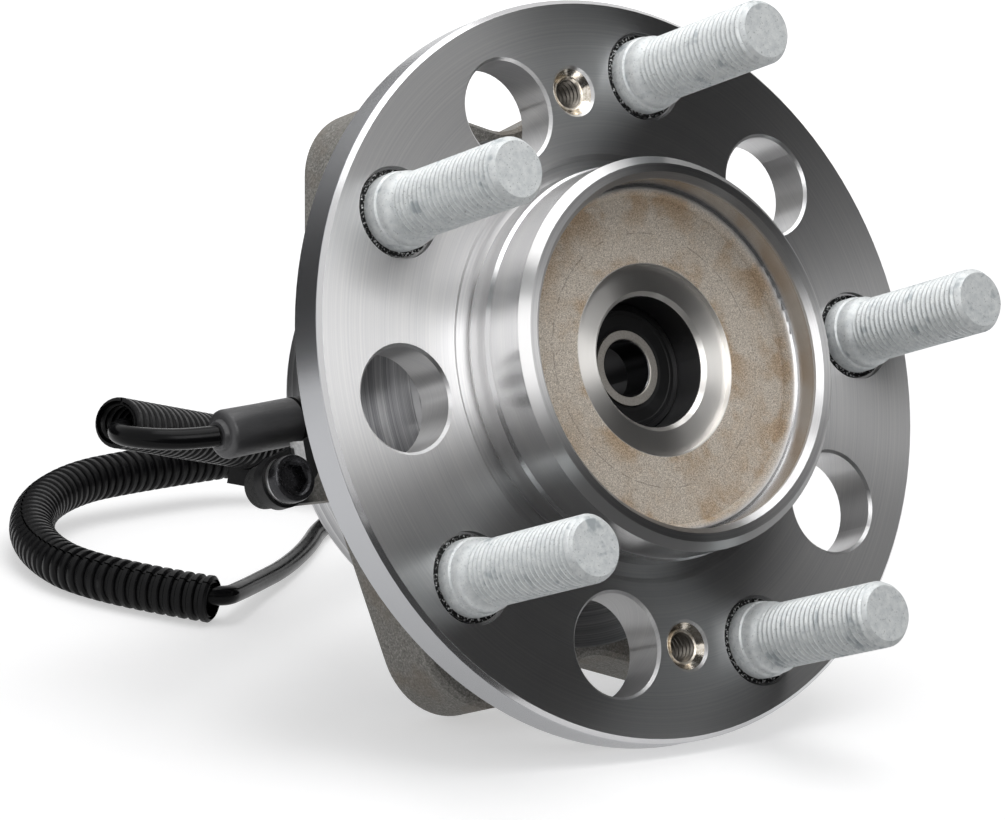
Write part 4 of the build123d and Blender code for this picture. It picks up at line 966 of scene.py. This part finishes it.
def seen_directly(tree):
    """1 for what the camera, a reflection or a see-through surface shows, 0 for light on the object."""
    path = add(tree, "LightPath")
    reflected_or_direct = maths(tree, "MAXIMUM", path.outputs["Is Camera Ray"], path.outputs["Is Glossy Ray"])
    return maths(tree, "MAXIMUM", reflected_or_direct, path.outputs["Is Transmission Ray"])


floor_white, tree, shader = new_finish("floor_white", 0.0, 0.9, (0.66, 0.66, 0.665), Specular_IOR_Level=0.0)
shader.inputs["Emission Color"].default_value = (1.0, 1.0, 1.0, 1)
from_middle = add(tree, "VectorMath", {0: object_place(tree)}, operation="LENGTH").outputs["Value"]
far = step(tree, from_middle, FLOOR_GLOW_GROWS_AT, 0.9)
glow = maths(tree, "MULTIPLY_ADD", far, FAR_FLOOR_GLOW - FLOOR_GLOW, FLOOR_GLOW)
tree.links.new(maths(tree, "MULTIPLY", seen_directly(tree), glow), shader.inputs["Emission Strength"])
floor.data.materials.append(floor_white)

world = bpy.data.worlds.new("studio")
scene.world = world
world.use_nodes = True
tree = world.node_tree
background = tree.nodes["Background"]
background.inputs["Color"].default_value = (1.0, 1.0, 1.0, 1)
sky = maths(tree, "MULTIPLY_ADD", seen_directly(tree), 1.0 - SKY_ON_OBJECT, SKY_ON_OBJECT)
tree.links.new(sky, background.inputs["Strength"])

lamp = bpy.data.lights.new("key_light", "AREA")
lamp.shape = "RECTANGLE"
lamp.size = 1.2
lamp.size_y = 1.0
lamp.energy = 9.0
softbox = bpy.data.objects.new("key_light", lamp)
softbox.location = LAMP_PLACE
softbox.rotation_euler = (LAMP_TARGET - LAMP_PLACE).to_track_quat("-Z", "Y").to_euler()
scene.collection.objects.link(softbox)


def card(name, place, target, width, height, brightness):
    """A card beside the object that shows only in its metal, as a lit or dark part of the studio."""
    bpy.ops.object.select_all(action="DESELECT")
    bpy.ops.mesh.primitive_plane_add(size=1.0)
    made = bpy.context.active_object
    made.name = name
    made.data.transform(Matrix.Diagonal((width, height, 1, 1)))
    made.location = place
    made.rotation_euler = (Vector(target) - Vector(place)).to_track_quat("Z", "Y").to_euler()
    made.visible_camera = False
    made.visible_diffuse = False
    made.visible_shadow = False
    made.visible_transmission = False
    face, tree, shader = new_finish(name, 0.0, 1.0, (0.012, 0.012, 0.013), Specular_IOR_Level=0.0)
    shader.inputs["Emission Color"].default_value = (1.0, 1.0, 1.0, 1)
    shader.inputs["Emission Strength"].default_value = brightness
    made.data.materials.append(face)


card("card_right", (0.375, -0.155, 0.45), (0.0, 0.0, 0.45), 0.66, 0.90, 0.025)
card("card_front", (0.42, -0.62, 0.30), (0.0, 0.0, 0.30), 0.42, 0.60, 0.025)
card("card_low", (-0.10, -0.44, 0.09), (0.0, 0.0, 0.09), 0.76, 0.18, 0.04)
card("card_floor", (0.20, -0.485, 0.0015), (0.20, -0.485, 1.0), 1.1, 0.88, 0.07)
card("card_back", (-0.14, 0.50, 0.14), (0.0, 0.0, 0.14), 0.80, 0.28, 0.02)
card("card_top", (0.10, -0.24, 0.50), (0.0, 0.0, 0.10), 0.32, 0.20, 0.30)
card("card_left", (-0.11, -0.38, 0.33), (-0.02, 0.0, 0.08), 0.34, 0.22, 4.5)
